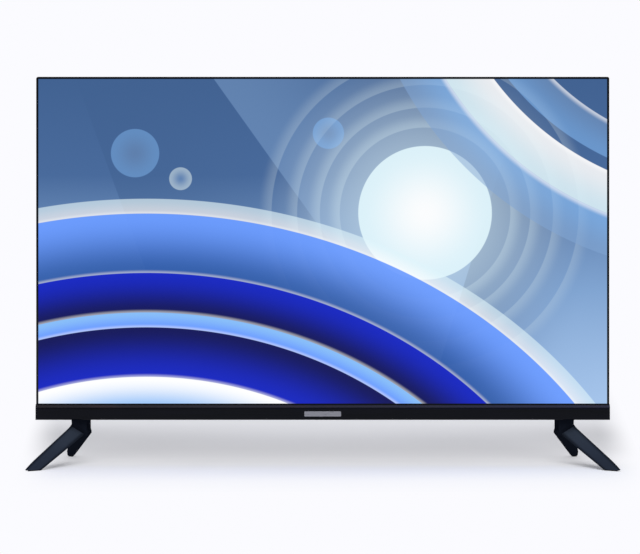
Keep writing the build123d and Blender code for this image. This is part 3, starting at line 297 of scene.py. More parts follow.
def moulded(name, dark, light, gloss, grain_per_metre, grain_deep, **even):
    """A moulded plastic, between two swatches, with its etched grain so many metres deep."""
    wire, shader, place = start_finish(name, **even)
    drift = grain(place, DRIFT_PER_METRE, ETCH_DETAIL)
    etched = grain(place, grain_per_metre, ETCH_DETAIL, ETCH_ROUGHNESS)
    specks = (etched * SPECK_CONTRAST - SPECK_START).clamp()
    mask = (drift * DRIFT_SHARE + specks * (1 - DRIFT_SHARE)).clamp()
    colour = wire.solid(swatch(dark)).tint(mask, swatch(light))
    roughness = gloss + (drift - 0.5) * DRIFT_GLOSS + (specks - 0.5) * SPECK_GLOSS
    normal = bumped(etched, grain_deep)
    feed(wire, shader, Base_Color=colour, Roughness=roughness, Normal=normal)


moulded("frame_black", "050608", "090a0d", 0.38, 2600.0, 0.000004, Specular_IOR_Level=0.10)
moulded("cover_black", "15161a", "1e1f24", 0.56, 1500.0, 0.00004, Specular_IOR_Level=0.35)
moulded("key_black", "2b2c32", "36373d", 0.34, 3000.0, 0.00001, Specular_IOR_Level=0.40)
moulded("jack_plastic", "17181a", "232427", 0.40, 2400.0, 0.00001, Specular_IOR_Level=0.40)
moulded("speaker_box", "101114", "1a1b1f", 0.50, 1700.0, 0.00003, Specular_IOR_Level=0.40)
moulded("socket_black", "0c0d0f", "151619", 0.38, 2400.0, 0.00001, Specular_IOR_Level=0.45)
moulded("chip_black", "17181a", "212225", 0.48, 3200.0, 0.00001, Specular_IOR_Level=0.40)
moulded("capacitor_sleeve", "141a2c", "1d2640", 0.30, 1200.0, 0.000006, Specular_IOR_Level=0.50)
moulded("lead_cover", "111113", "1d1d20", 0.45, 1800.0, 0.00002, Specular_IOR_Level=0.40)
print("moulded plastics:", sorted(finishes))

# %% [markdown]
# ## The feet
# The feet are the largest mouldings that stand clear of the shade of the set.
# Their plastic is nearly black, with a fine etched skin.  The faces that lean to
# the sky are painted a cool slate, lighter towards the top of the foot: a painted
# highlight for the light they catch from above, while upright and hanging faces
# stay dark.  The painted highlight follows the direction that each face points in
# on the part, so it stays put when the eye moves.  On the real set a front leg's
# face is crowned a little, and looks darkest along its two long edges.  The drawn
# face is flat, so the finish paints shade along those edges.

# %% Faces that lean, and the painted shade along a leg's edges
LEAN_START = 0.12
LEAN_FULL = 0.62
# the middle line of a front leg's face: a point on it, the direction across it,
# half the face's width at the floor, and how that grows with the height
LEG_TOP_X = 0.3096
LEG_TOP_Z = 0.0408
LEG_ASIDE_X = 0.70
LEG_ASIDE_Z = 0.714
LEG_HALF_LOW = 0.0064
LEG_WIDENS = 0.066
CROWN_START = 0.50
CROWN_REAR_FADE = 0.02


def leaning(wire):
    """1 on faces that lean to the sky, 0 on upright and hanging ones."""
    facing = wire.node("ShaderNodeTexCoord", None, None, "Normal")
    return smooth((facing.part("Z") - LEAN_START) / (LEAN_FULL - LEAN_START))


def painted_crown_shade(place):
    """Where painted shade goes: 1 at the long edges of a front leg's face, 0 along its middle and behind
    the set.
    """
    outward = abs(place.part("X")) - LEG_TOP_X
    upward = place.part("Z") - LEG_TOP_Z
    aside = abs(outward * LEG_ASIDE_X + upward * LEG_ASIDE_Z)
    share = aside / (LEG_HALF_LOW + place.part("Z") * LEG_WIDENS)
    in_front = smooth(0.5 - place.part("Y") / CROWN_REAR_FADE)
    return smooth((share - CROWN_START) / (1 - CROWN_START)) * in_front


print("a leg's face is", round(2000 * LEG_HALF_LOW, 1), "mm wide at the floor")

# %% Foot plastic
FOOT_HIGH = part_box("stand_foot_left")[1].z
FOOT_DARK = swatch("141821")
# the painted highlight on faces that lean to the sky, from its low to its high slate, and its etched
# specks
PAINTED_LIT_LOW = swatch("272d39")
PAINTED_LIT_HIGH = swatch("3e4754")
PAINTED_LIT_ETCHED = swatch("303b4b")
# painted shade along a front leg's two long edges
PAINTED_EDGE_SHADE = swatch("10141b")
PAINTED_LIT_RISE = 1.1
PAINTED_LIT_START = 0.2
PAINTED_LIT_DRIFT = 0.3
FOOT_DRIFT_PER_METRE = 22.0
ETCHED_START = 0.8
ETCHED_SHARE = 0.35
PAINTED_EDGE_SHADE_SHARE = 0.75
FOOT_GLOSS = 0.50
FOOT_DRIFT_GLOSS = 0.12
FOOT_ETCH_GLOSS = 0.08
FOOT_ETCH_PER_METRE = 1900.0
FOOT_ETCH_DEEP = 0.000016


def foot_plastic():
    """Nearly black plastic, with a painted slate highlight on the faces that lean to the sky and painted
    shade along a front leg's long edges.
    """
    wire, shader, place = start_finish("foot_plastic", Specular_IOR_Level=0.0)
    height = (place.part("Z") / FOOT_HIGH).clamp()
    drift = grain(place, FOOT_DRIFT_PER_METRE, ETCH_DETAIL)
    etched = grain(place, FOOT_ETCH_PER_METRE, ETCH_DETAIL, ETCH_ROUGHNESS)
    # painted highlight: the slate of faces that lean to the sky, lighter towards the top of the foot,
    # with etched specks in it
    rising = (height * PAINTED_LIT_RISE + drift * PAINTED_LIT_DRIFT - PAINTED_LIT_START).clamp()
    specks = (etched * SPECK_CONTRAST - ETCHED_START).clamp()
    painted_lit = wire.solid(PAINTED_LIT_LOW).tint(rising, PAINTED_LIT_HIGH).tint(specks * ETCHED_SHARE, PAINTED_LIT_ETCHED)
    # painted shade along a front leg's long edges, where a crowned face would look darkest
    painted_lit = painted_lit.tint(painted_crown_shade(place) * PAINTED_EDGE_SHADE_SHARE, PAINTED_EDGE_SHADE)
    colour = wire.solid(FOOT_DARK).tint(leaning(wire), painted_lit)
    roughness = FOOT_GLOSS + (drift - 0.5) * FOOT_DRIFT_GLOSS + (etched - 0.5) * FOOT_ETCH_GLOSS
    normal = bumped(etched, FOOT_ETCH_DEEP)
    feed(wire, shader, Base_Color=colour, Roughness=roughness, Normal=normal)


foot_plastic()
print("feet are", round(FOOT_HIGH * 1000, 1), "mm high")

# %% [markdown]
# ## The chin
# The chin is the one glossy moulding in front.  It is a black with a trace of
# blue in it, under a clear skin.  A glossy moulding is never quite flat: a long
# slow swell makes the reflections wander, and hair-fine wipe marks run along it.
# Its sloped top strip leans to the sky, and on it a painted reflection of the
# sky: a violet-blue sheen painted into its colour that grows towards the right,
# with a few warm streaks in it.  The clear skin is thinner on the strip, so that
# this painted sheen isn't washed out by the room.

# %% Chin gloss
CHIN_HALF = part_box("chin_cover")[1].x
CHIN_BLACK = swatch("04060b")
CHIN_BLUE = swatch("080a14")
PAINTED_SHEEN_LEFT = swatch("120d16")
PAINTED_SHEEN_RIGHT = swatch("171a34")
PAINTED_SHEEN_WARM = swatch("2b1a20")
WIPE_STRETCH = (0.25, 1.0, 6.0)
STREAK_STRETCH = (1.0, 0.2, 4.0)
SWELLS_PER_METRE = 14.0
WIPES_PER_METRE = 900.0
CLOUDS_PER_METRE = 30.0
CLOUD_CONTRAST = 1.4
CLOUD_START = 0.3
STREAKS_PER_METRE = 16.0
STREAK_START = 0.52
STREAK_FADE = 0.16
STREAK_SHARE = 0.5
STRIP_PAINTED_SHEEN_SHARE = 0.9
CHIN_GLOSS = 0.24
WIPE_GLOSS = 0.10
SKIN = 0.03
SKIN_SWELL = 0.04
SKIN_LOST_ON_STRIP = 0.8
SWELL_SHARE = 0.9
CHIN_BUMP_DEEP = 0.00004


def chin_gloss():
    """Glossy black with a painted violet-blue reflection on the sloped strip along its top."""
    even = {"Specular_IOR_Level": 0.09, "Coat_Roughness": 0.08, "Coat_IOR": 1.45}
    wire, shader, place = start_finish("chin_gloss", **even)
    along = place.stretch(WIPE_STRETCH)
    swell = grain(place, SWELLS_PER_METRE, 1.0)
    wiped = grain(along, WIPES_PER_METRE)
    clouds = (grain(along, CLOUDS_PER_METRE) * CLOUD_CONTRAST - CLOUD_START).clamp()
    right = smooth(place.part("X") / CHIN_HALF * 0.5 + 0.5)
    streaks = grain(place.stretch(STREAK_STRETCH), STREAKS_PER_METRE)
    # the sloped strip's sheen is painted into its colour: a painted reflection of the sky, bluer to the
    # right, with warm streaks
    painted_sheen = wire.solid(PAINTED_SHEEN_LEFT).tint(right, PAINTED_SHEEN_RIGHT)
    painted_sheen = painted_sheen.tint(smooth((streaks - STREAK_START) / STREAK_FADE) * STREAK_SHARE, PAINTED_SHEEN_WARM)
    sloped = leaning(wire)
    colour = wire.solid(CHIN_BLACK).tint(clouds, CHIN_BLUE).tint(sloped * STRIP_PAINTED_SHEEN_SHARE, painted_sheen)
    roughness = CHIN_GLOSS + (wiped - 0.5) * WIPE_GLOSS
    skin = (SKIN + (swell - 0.5) * SKIN_SWELL) * (1 - sloped * SKIN_LOST_ON_STRIP)
    normal = bumped(swell * SWELL_SHARE + wiped * (1 - SWELL_SHARE), CHIN_BUMP_DEEP)
    feed(wire, shader, Base_Color=colour, Roughness=roughness, Coat_Weight=skin, Normal=normal)


chin_gloss()
print("chin is", round(2000 * CHIN_HALF, 1), "mm wide")

# %% [markdown]
# ## Metals
# Pressed steel, tinned shells, zinc screws and folded aluminium share one
# recipe too.  Rolled sheet has long fine lines along one axis, zinc plating has
# a spangle of flat crystals, and both change the gloss more than the colour.

# %% Metal finishes
LINES_PER_METRE = 1600.0
LINES_SHARE = 0.4
LINES_DEEP = 0.000003
METAL_GLOSS_SPREAD = 0.16


def metal(name, dark, light, gloss, rolled, spangle_per_metre=None):
    """A metal finish: rolled stretches its lines, and a spangle adds plating crystals."""
    wire, shader, place = start_finish(name, Metallic=1.0)
    lines = grain(place.stretch(rolled), LINES_PER_METRE)
    mask = lines
    if spangle_per_metre:
        values = {"Vector": place, "Scale": spangle_per_metre}
        crystals = wire.node("ShaderNodeTexVoronoi", None, values, "Color")
        shade = wire.node("ShaderNodeSeparateColor", None, {0: crystals}, 0)
        mask = lines * LINES_SHARE + shade * (1 - LINES_SHARE)
    colour = wire.solid(swatch(dark)).tint(mask.clamp(), swatch(light))
    roughness = gloss + (mask - 0.5) * METAL_GLOSS_SPREAD
    feed(wire, shader, Base_Color=colour, Roughness=roughness, Normal=bumped(lines, LINES_DEEP))


metal("badge_metal", "83848e", "aeafb8", 0.30, (0.04, 1.0, 1.0))
metal("pan_steel", "8e9194", "b4b7ba", 0.42, (0.1, 1.0, 1.0), 160.0)
metal("bracket_steel", "7d8084", "a4a7ab", 0.40, (0.1, 1.0, 1.0), 260.0)
metal("sink_aluminium", "a9acaf", "d2d4d6", 0.36, (1.0, 0.08, 1.0))
metal("socket_tin", "a4a5a4", "cfcfcb", 0.26, (1.0, 0.1, 1.0))
metal("dome_steel", "b2b2b0", "dadad6", 0.22, (1.0, 0.3, 1.0))
metal("screw_zinc", "9fa09c", "cbcbc5", 0.30, (1.0, 1.0, 1.0), 1400.0)
metal("screw_black", "17181b", "2c2d31", 0.38, (1.0, 1.0, 1.0), 1400.0)
print("metals so far:", [name for name in finishes if "steel" in name or "screw" in name])

# %% [markdown]
# ## Films, foam and rubber
# The optical stack is milky: the films and the diffuser scatter light, so they
# are pale and satin.  The reflector is a white foamed sheet.  Foam tape, rubber
# and the paper of a speaker's cone are dark and dull, and the glass of the cell
# is dark and smooth.  The lamps' lenses and strips, the amber flexible films and
# the pressed core of the transformer are as plain.  All of them have one even
# grain, so one function serves.

# %% Sheets, rubber, lenses and strips
PORE_DETAIL = 3.0
PORE_ROUGHNESS = 0.55
PORE_CONTRAST = 1.6
PORE_START = 0.3
PORE_GLOSS = 0.2


def sheeted(name, dark, light, gloss, per_metre, deep, **even):
    """A rolled or foamed sheet with one grain for its colour, gloss and bump."""
    wire, shader, place = start_finish(name, **even)
    pores = grain(place, per_metre, PORE_DETAIL, PORE_ROUGHNESS)
    mask = (pores * PORE_CONTRAST - PORE_START).clamp()
    colour = wire.solid(swatch(dark)).tint(mask, swatch(light))
    roughness = gloss + (pores - 0.5) * PORE_GLOSS
    feed(wire, shader, Base_Color=colour, Roughness=roughness, Normal=bumped(pores, deep))


sheeted("optical_film", "d9dde0", "eef1f3", 0.35, 700.0, 0.00001, Specular_IOR_Level=0.4)
sheeted("reflector_white", "e6e7e6", "f6f6f4", 0.60, 900.0, 0.00003, Specular_IOR_Level=0.3)
sheeted("foam_tape", "1a1a1b", "2b2b2d", 0.90, 2200.0, 0.00010, Specular_IOR_Level=0.2)
sheeted("cell_glass", "14181c", "1e2429", 0.12, 60.0, 0.000004, Specular_IOR_Level=0.5)
sheeted("lens_clear", "d6e2ea", "f2f8fb", 0.10, 400.0, 0.000002, Specular_IOR_Level=0.5)
sheeted("pad_rubber", "101011", "1d1d1e", 0.82, 1700.0, 0.00008, Specular_IOR_Level=0.2)
sheeted("speaker_cone", "1b1b1d", "303033", 0.85, 1100.0, 0.00008, Specular_IOR_Level=0.2)
sheeted("transformer_core", "2a2a2c", "3e3e41", 0.55, 900.0, 0.00004, Specular_IOR_Level=0.3)
sheeted("flex_amber", "a8641c", "d08a2e", 0.30, 500.0, 0.000008, Specular_IOR_Level=0.5)
sheeted("lamp_strip", "dfe3e6", "f4f6f7", 0.45, 800.0, 0.000010, Specular_IOR_Level=0.4)
print("finishes so far:", len(finishes))

# %% [markdown]
# ## Circuit boards
# Under its lacquer a board is cut up into blocks of parallel tracks, some of
# them upright and some lying.  Square cells of a Voronoi pattern make the
# blocks, a repeating ramp inside each one makes the tracks, and small round
# cells make the solder, which alone is metal.

# %% Board finish
LACQUER = swatch("0f4a2c")
TRACK = swatch("1d6a41")
SOLDER = swatch("c4c6c2")
BLOCKS_PER_METRE = 90.0
SOLDER_PER_METRE = 260.0
SOLDER_REACH = 0.16
TRACK_PITCH = 0.0026
TRACK_SHARE = 0.62
TRACK_DEEP = 0.00004
LACQUER_GLOSS = 0.34
SOLDER_GLOSS = 0.24


def board_green():
    """Lacquer over copper: a net of tracks and a scatter of solder points."""
    wire, shader, place = start_finish("board_green", Specular_IOR_Level=0.5)
    values = {"Vector": place, "Scale": BLOCKS_PER_METRE}
    blocks = wire.node("ShaderNodeTexVoronoi", {"distance": "CHEBYCHEV"}, values, "Color")
    turn = wire.node("ShaderNodeSeparateColor", None, {0: blocks}, 0)
    flip = turn.math("GREATER_THAN", turn, 0.5)
    run = place.part("X") * flip + place.part("Z") * (1 - flip)
    tracks = run.math("GREATER_THAN", run.math("FRACT", run / TRACK_PITCH), TRACK_SHARE)
    values = {"Vector": place, "Scale": SOLDER_PER_METRE}
    points = wire.node("ShaderNodeTexVoronoi", None, values, "Distance")
    solder = points.math("LESS_THAN", points, SOLDER_REACH)
    colour = wire.solid(LACQUER).tint(tracks, TRACK).tint(solder, SOLDER)
    roughness = LACQUER_GLOSS - solder * (LACQUER_GLOSS - SOLDER_GLOSS)
    normal = bumped(tracks * 0.5 + solder * 0.5, TRACK_DEEP)
    feed(wire, shader, Base_Color=colour, Roughness=roughness, Metallic=solder, Normal=normal)


board_green()
print("finishes:", len(finishes))

# %% [markdown]
# ## The picture
# A set in a shop shows a bright blue picture, and half of what the eye sees of
# this object is that picture.  This one is a plain design of large rings and
# discs: a slate sky with faint slanted facets, a pale disc, and two fans of
# wide bands, navy, royal blue, sky blue and white.  It is worked out for every
# point from its place on the glass, so it stays sharp however near the eye is.

# %% Where the picture lies
film_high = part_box("front_polarizer")[1]
PICTURE_LOW = 0.0763
PICTURE_MARGIN = 0.0005
HALF_WIDE = film_high.x - PICTURE_MARGIN
PICTURE_TOP = film_high.z - PICTURE_MARGIN
PICTURE_MIDDLE = (PICTURE_LOW + PICTURE_TOP) / 2
EDGE_SOFT = 0.0022
print("picture:", round(2000 * HALF_WIDE, 1), "x", round(1000 * (PICTURE_TOP - PICTURE_LOW), 1), "mm")

# %% [markdown]
# ## A canvas to paint on
# The design is built up like a screen print, one shape over another, and each
# shape is a mask and a colour.  A band is the set of points between two
# distances from a centre, so it costs a few sums and needs no outline.

# %% Canvas
def sharp(distance, soft=EDGE_SOFT):
    """1 where a distance is positive and 0 where it is negative, over a soft edge."""
    return (distance / soft + 0.5).clamp()


class Canvas:
    """A picture that is painted one shape over another."""

    def __init__(self, wire, across, upward, ground):
        self.wire = wire
        self.across = across
        self.upward = upward
        self.colour = ground

    def lay(self, mask, colour):
        """Paints one colour where the mask is 1."""
        self.colour = self.colour.tint(mask, colour)

    def reach(self, centre, squeeze=1.0):
        """How far each point lies from a centre, with the height squeezed."""
        aside = self.across - centre[0]
        above = (self.upward - centre[1]) * squeeze
        return (aside * aside + above * above) ** 0.5

    def facet(self, slant, start, end, colour, strength):
        """A slanted wedge of another tone, fading from its sharp side."""
        along = self.across * math.cos(slant) + self.upward * math.sin(slant)
        inside = sharp(along - start) * (1 - smooth((along - start) / (end - start)))
        self.lay(inside * strength, colour)

    def band(self, distance, inner, outer, first, last, strength):
        """A band between two distances, shaded from one colour to the other."""
        across = smooth((distance - inner) / (outer - inner))
        inside = sharp(distance - inner) * sharp(outer - distance)
        self.lay(inside * strength, self.wire.solid(first).tint(across, last))

    def rim(self, distance, at, thick, colour, strength):
        """A bright hairline along a distance, soft on its outer side."""
        inside = sharp(distance - at) * (1 - smooth((distance - at) / thick))
        self.lay(inside * strength, colour)


print("shapes on a canvas:", [name for name in vars(Canvas) if not name.startswith("__")])

# %% [markdown]
# ## The picture's colours and shapes
# Each shape is a row of numbers in shares of half the picture's width, measured
# from its middle: where the centre lies, how far each band reaches, and which
# two colours it runs between.  The tables keep the design apart from the sums,
# so that a shape can be moved without reading a formula.

# %% Picture colours and shapes
SLATE = swatch("45689a")
SLATE_DEEP = swatch("3d5f8f")
SLATE_PALE = swatch("7fa3d0")
SKY = swatch("87bdf8")
HAZE = swatch("a9c8ee")
MID_BLUE = swatch("2a5aa8")
ROYAL = swatch("0a22c0")
NAVY = swatch("040a58")
BRIGHT = swatch("6a9bff")
PALE = swatch("dff4fb")
WHITE = swatch("ffffff")

SKY_STOPS = ((0.0, HAZE), (0.35, SLATE_PALE), (0.70, SLATE), (1.0, SLATE_DEEP))
SKY_HALF = 0.58
# slant in radians, where it starts and ends along that slant, colour, strength
FACETS = (
    (0.35, -0.62, 0.10, SLATE_DEEP, 0.55),
    (0.62, 0.02, 0.75, SLATE_PALE, 0.40),
    (-0.30, 0.52, 0.95, SLATE_DEEP, 0.60),
)

LOW_FAN = (-0.62, -1.52)
# from the outside in: outer and inner reach, outer and inner colour, strength
LOW_BANDS = (
    (1.92, 1.86, PALE, WHITE, 0.55),
    (1.86, 1.62, BRIGHT, MID_BLUE, 0.95),
    (1.62, 1.46, ROYAL, NAVY, 1.0),
    (1.46, 1.40, SKY, BRIGHT, 1.0),
    (1.40, 1.20, NAVY, ROYAL, 1.0),
    (1.20, 1.06, WHITE, SKY, 1.0),
    (1.06, 0.92, PALE, WHITE, 1.0),
)
HIGH_FAN = (1.42, 1.18)
# inner and outer reach, inner and outer colour, strength
HIGH_BANDS = (
    (0.86, 0.98, SLATE_PALE, SKY, 0.45),
    (1.02, 1.16, WHITE, PALE, 0.80),
    (1.16, 1.30, SKY, SLATE_PALE, 0.55),
)
LOW_SQUEEZE = 1.15
DISC = (0.36, 0.10)
DISC_RADIUS = 0.235
DISC_STRENGTH = 0.92
DISC_HALOS = (0.30, 0.37, 0.45, 0.54)
# reach in radii of the disc, strength
DISC_GLOW = (2.6, 0.55)
# centre, radius, colour of the rim, strength
SMALL_DISCS = (
    ((-0.66, 0.31), 0.085, SKY, 0.35),
    ((-0.50, 0.22), 0.040, PALE, 0.40),
    ((0.02, 0.38), 0.055, SKY, 0.40),
)
# thickness, strength
HALO_RIM = (0.05, 0.28)
HIGH_RIM = (0.02, 0.5)
LOW_RIM = (0.015, 0.35)
print("bands:", len(LOW_BANDS) + len(HIGH_BANDS), "discs:", 1 + len(SMALL_DISCS), "facets:", len(FACETS))


# %% Paint the picture
def paint_sky(canvas):
    for slant, start, end, colour, strength in FACETS:
        canvas.facet(slant, start, end, colour, strength)


def paint_discs(canvas):
    """The pale disc with its glow and halos, and the small ones about it."""
    glow = canvas.reach(DISC)
    wide, strength = DISC_GLOW
    canvas.lay((1 - smooth(glow / (DISC_RADIUS * wide))) * strength, PALE)
    thick, strength = HALO_RIM
    for halo in DISC_HALOS:
        canvas.rim(glow, halo, thick, PALE, strength * (1 - halo))
    canvas.band(glow, 0.0, DISC_RADIUS, WHITE, PALE, DISC_STRENGTH)
    for centre, radius, colour, strength in SMALL_DISCS:
        canvas.band(canvas.reach(centre), 0.0, radius, SLATE_PALE, colour, strength)


def paint_fans(canvas):
    """Two fans of bands, each band with a bright hairline along its inner side."""
    high = canvas.reach(HIGH_FAN)
    for inner, outer, first, last, strength in HIGH_BANDS:
        canvas.band(high, inner, outer, first, last, strength)
        canvas.rim(high, inner, HIGH_RIM[0], WHITE, HIGH_RIM[1])
    low = canvas.reach(LOW_FAN, LOW_SQUEEZE)
    for outer, inner, last, first, strength in LOW_BANDS:
        canvas.band(low, inner, outer, first, last, strength)
        canvas.rim(low, inner, LOW_RIM[0], WHITE, LOW_RIM[1])


print("painters ready")

# %% [markdown]
# ## The film on the glass
# The panel glows, so the picture feeds the emission colour, and the film itself
# is nearly black with a low sheen.  The picture stops a little inside the
# film's edge, as on a real panel, whose dots end just short of it.

# %% Screen film
PICTURE_EDGE = 0.0003
UNLIT = swatch("020203")
FILM_DARK = swatch("050608")
FILM_LIGHT = swatch("08090c")
FILM_PER_METRE = 40.0


def screen_film():
    even = {"Specular_IOR_Level": 0.16, "Roughness": 0.34, "Emission_Strength": 1.0}
    wire, shader, place = start_finish("screen_film", **even)
    x = place.part("X")
    z = place.part("Z")
    upward = (z - PICTURE_MIDDLE) / HALF_WIDE
    height = {0: (upward + SKY_HALF) / (2 * SKY_HALF)}
    sky = wire.node("ShaderNodeValToRGB", {"stops": SKY_STOPS}, height)
    canvas = Canvas(wire, x / HALF_WIDE, upward, sky)
    paint_sky(canvas)
    paint_discs(canvas)
    paint_fans(canvas)
    sides = sharp(HALF_WIDE - abs(x), PICTURE_EDGE)
    ends = sharp(z - PICTURE_LOW, PICTURE_EDGE) * sharp(PICTURE_TOP - z, PICTURE_EDGE)
    picture = wire.solid(UNLIT).tint(sides * ends, canvas.colour)
    film = wire.solid(FILM_DARK).tint(grain(place, FILM_PER_METRE), FILM_LIGHT)
    feed(wire, shader, Emission_Color=picture, Base_Color=film)


screen_film()
print("finishes:", len(finishes))

# %% [markdown]
# ## Putting the finishes on
# The record names a finish for every solid, so the list is read from there and
# no solid can be forgotten.

# %% Assign the finishes
def assign_finishes():
    for part in frame["record"]["subparts"]:
        solid = nodes[part["node"]]
        solid.data.materials.clear()
        solid.data.materials.append(finishes[part["material_slot"]])


assign_finishes()
print("dressed:", len(nodes), "solids with", len(finishes), "finishes")

# %% [markdown]
# ## Softer edges
# No mould gives a knife edge.  Mouldings leave the tool with edges of a few
# tenths of a millimetre, and it is this small round that catches a line of
# light.  Only the edges change: a stack of modifiers joins the facets, rounds
# the edges by half a millimetre at most, and evens the normals so that flat
# faces stay flat.

# %% Soften edges
WELD_REACH = 0.000002
FLAT_WITHIN = math.radians(0.5)
ROUND_FROM = math.radians(32.0)
ROUND_SEGMENTS = 2
NORMAL_WEIGHT = 60


def soften(name, width):
    """Rounds a solid's edges that turn by more than ROUND_FROM."""
    solid = nodes[name]
    weld = solid.modifiers.new("join facets", "WELD")
    weld.merge_threshold = WELD_REACH
    flat = solid.modifiers.new("merge flats", "DECIMATE")
    flat.decimate_type = "DISSOLVE"
    flat.angle_limit = FLAT_WITHIN
    edge = solid.modifiers.new("round edges", "BEVEL")
    edge.width = width
    edge.segments = ROUND_SEGMENTS
    edge.limit_method = "ANGLE"
    edge.angle_limit = ROUND_FROM
    edge.harden_normals = False
    even = solid.modifiers.new("even normals", "WEIGHTED_NORMAL")
    even.weight = NORMAL_WEIGHT
    even.keep_sharp = True


EDGE_ROUNDS = {
    "stand_foot_left": 0.0005,
    "stand_foot_right": 0.0005,
    "chin_cover": 0.0002,
    "badge_plate": 0.0001,
}
for name, width in EDGE_ROUNDS.items():
    soften(name, width)
print("softened:", sorted(EDGE_ROUNDS))

# %% [markdown]
# ## Marks on the moulding
# The tool leaves small raised marks beside the keys and the sockets, so that a
# hand behind the set can tell them apart: a ring and bar for power, arrows and
# signs for the rest, and plain numbers for sockets of one kind.  Each mark is a
# flat outline, two tenths of a millimetre high, with its top polished smooth.
# The marks are painted a light grey so that they show: a painted highlight for
# the light that their raised, polished tops catch.
# They are drawn as strokes with bmesh, because a stroke keeps one width where a
# font's letters do not.

# %% Mark outlines
ARC_STEPS = 20


def arc(centre, radius, start, end):
    """Points along an arc, in shares of the mark's height, with angles in turns."""
    points = []
    for step in range(ARC_STEPS + 1):
        angle = 2 * math.pi * (start + (end - start) * step / ARC_STEPS)
        points.append((centre[0] + radius * math.cos(angle), centre[1] + radius * math.sin(angle)))
    return points


POWER_MARK = [arc((0, 0), 0.42, 0.31, 1.19), [(0, 0.05), (0, 0.5)]]
SOURCE_BOX = [(-0.45, 0.3), (-0.45, -0.3), (0.45, -0.3), (0.45, 0.3), (-0.45, 0.3)]
SOURCE_MARK = [SOURCE_BOX, [(-0.8, 0), (0.05, 0)]]
MENU_MARK = [[(-0.4, level), (0.4, level)] for level in (-0.32, 0.0, 0.32)]
DOWN_MARK = [[(-0.36, 0.18), (0, -0.2), (0.36, 0.18)]]
UP_MARK = [[(-0.36, -0.18), (0, 0.2), (0.36, -0.18)]]
MINUS_MARK = [[(-0.36, 0), (0.36, 0)]]
PLUS_MARK = [[(-0.36, 0), (0.36, 0)], [(0, -0.36), (0, 0.36)]]
ONE_MARK = [[(-0.16, 0.3), (0.04, 0.46), (0.04, -0.46)]]
TWO_MARK = [arc((0, 0.2), 0.26, 0.45, -0.08) + [(-0.28, -0.46), (0.3, -0.46)]]
THREE_MARK = [arc((0, 0.23), 0.22, 0.42, -0.25), arc((0, -0.22), 0.25, 0.25, -0.42)]
WAVE_MARK = [arc((-0.22, 0), 0.22, 0.5, 0.0) + arc((0.22, 0), 0.22, 0.5, 1.0)[1:]]
print("strokes in the power mark:", len(POWER_MARK))

# %% One stroke
MITRE_LEAST = 0.4
TOP_SHARE = 0.8


def stroke(mesh, points, width, tall):
    """Adds one raised stroke along points in the mark's own plane, with mitred corners."""
    count = len(points)
    rows = []
    for index, (x, y) in enumerate(points):
        before = points[max(index - 1, 0)]
        after = points[min(index + 1, count - 1)]
        first = Vector((x - before[0], y - before[1]))
        second = Vector((after[0] - x, after[1] - y))
        first = first.normalized() if first.length else second.normalized()
        second = second.normalized() if second.length else first
        along = (first + second).normalized()
        side = Vector((-along.y, along.x))
        spread = width / 2 / max(side.dot(Vector((-first.y, first.x))), MITRE_LEAST)
        corners = []
        for way, height in ((1, 0.0), (1, tall), (-1, tall), (-1, 0.0)):
            inset = TOP_SHARE if height else 1.0
            edge = Vector((x, y)) + side * spread * way * inset
            corners.append(mesh.verts.new((edge.x, edge.y, height)))
        rows.append(corners)
    for one, two in zip(rows, rows[1:]):
        for corner in range(4):
            following = (corner + 1) % 4
            mesh.faces.new((one[corner], one[following], two[following], two[corner]))
    mesh.faces.new(rows[0][::-1])
    mesh.faces.new(rows[-1])


print("a stroke has four faces along each of its lengths, and two ends")

# %% A raised mark
MARK_HIGH = 0.0036
MARK_PROUD = 0.0002
STROKE_SHARE = 0.15


def raised_mark(name, strokes, place, facing, up):
    """A mark whose plane faces one way, at a place on the moulding."""
    mesh = bmesh.new()
    for points in strokes:
        scaled = [(x * MARK_HIGH, y * MARK_HIGH) for x, y in points]
        stroke(mesh, scaled, MARK_HIGH * STROKE_SHARE, MARK_PROUD)
    right = Vector(up).cross(Vector(facing))
    for vertex in mesh.verts:
        local = vertex.co.copy()
        vertex.co = Vector(place) + right * local.x + Vector(up) * local.y + Vector(facing) * local.z
    bmesh.ops.recalc_face_normals(mesh, faces=mesh.faces)
    data = bpy.data.meshes.new(name)
    mesh.to_mesh(data)
    mesh.free()
    piece = bpy.data.objects.new(name, data)
    bpy.context.scene.collection.objects.link(piece)
    data.materials.append(finishes["mark_polish_painted_highlight"])
    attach(piece, root_body)


# the marks' light grey is a painted highlight for the light their raised, polished tops catch
moulded("mark_polish_painted_highlight", "74757c", "868790", 0.30, 1500.0, 0.000004, Specular_IOR_Level=0.45)
print("a mark:", round(MARK_HIGH * 1000, 1), "mm high,", round(MARK_PROUD * 1000, 1), "mm proud")

# %% [markdown]
# ## Where the marks go
# A mark belongs to the cover and not to the key, so it stays put when the key
# is pressed.  Each one takes its height from the key or the socket that it
# names, read from the frame: beside a key it lies on the cover's back, and
# beside a socket on the floor of the niche.

# %% What is marked
KEY_MARKS = {
    "key_power": POWER_MARK,
    "key_source": SOURCE_MARK,
    "key_menu": MENU_MARK,
    "key_channel_down": DOWN_MARK,
    "key_channel_up": UP_MARK,
    "key_volume_down": MINUS_MARK,
    "key_volume_up": PLUS_MARK,
}
# the height of one socket in metres, and the marks beside them from the bottom up
SOCKET_MARKS = {
    "video_sockets": (0.0150, (ONE_MARK, TWO_MARK)),
    "data_sockets": (0.0140, (ONE_MARK, TWO_MARK)),
    "av_jacks": (0.0110, (ONE_MARK, TWO_MARK, THREE_MARK)),
    "mains_inlet": (0.0210, (WAVE_MARK,)),
}
print("marked:", sorted(KEY_MARKS), sorted(SOCKET_MARKS))

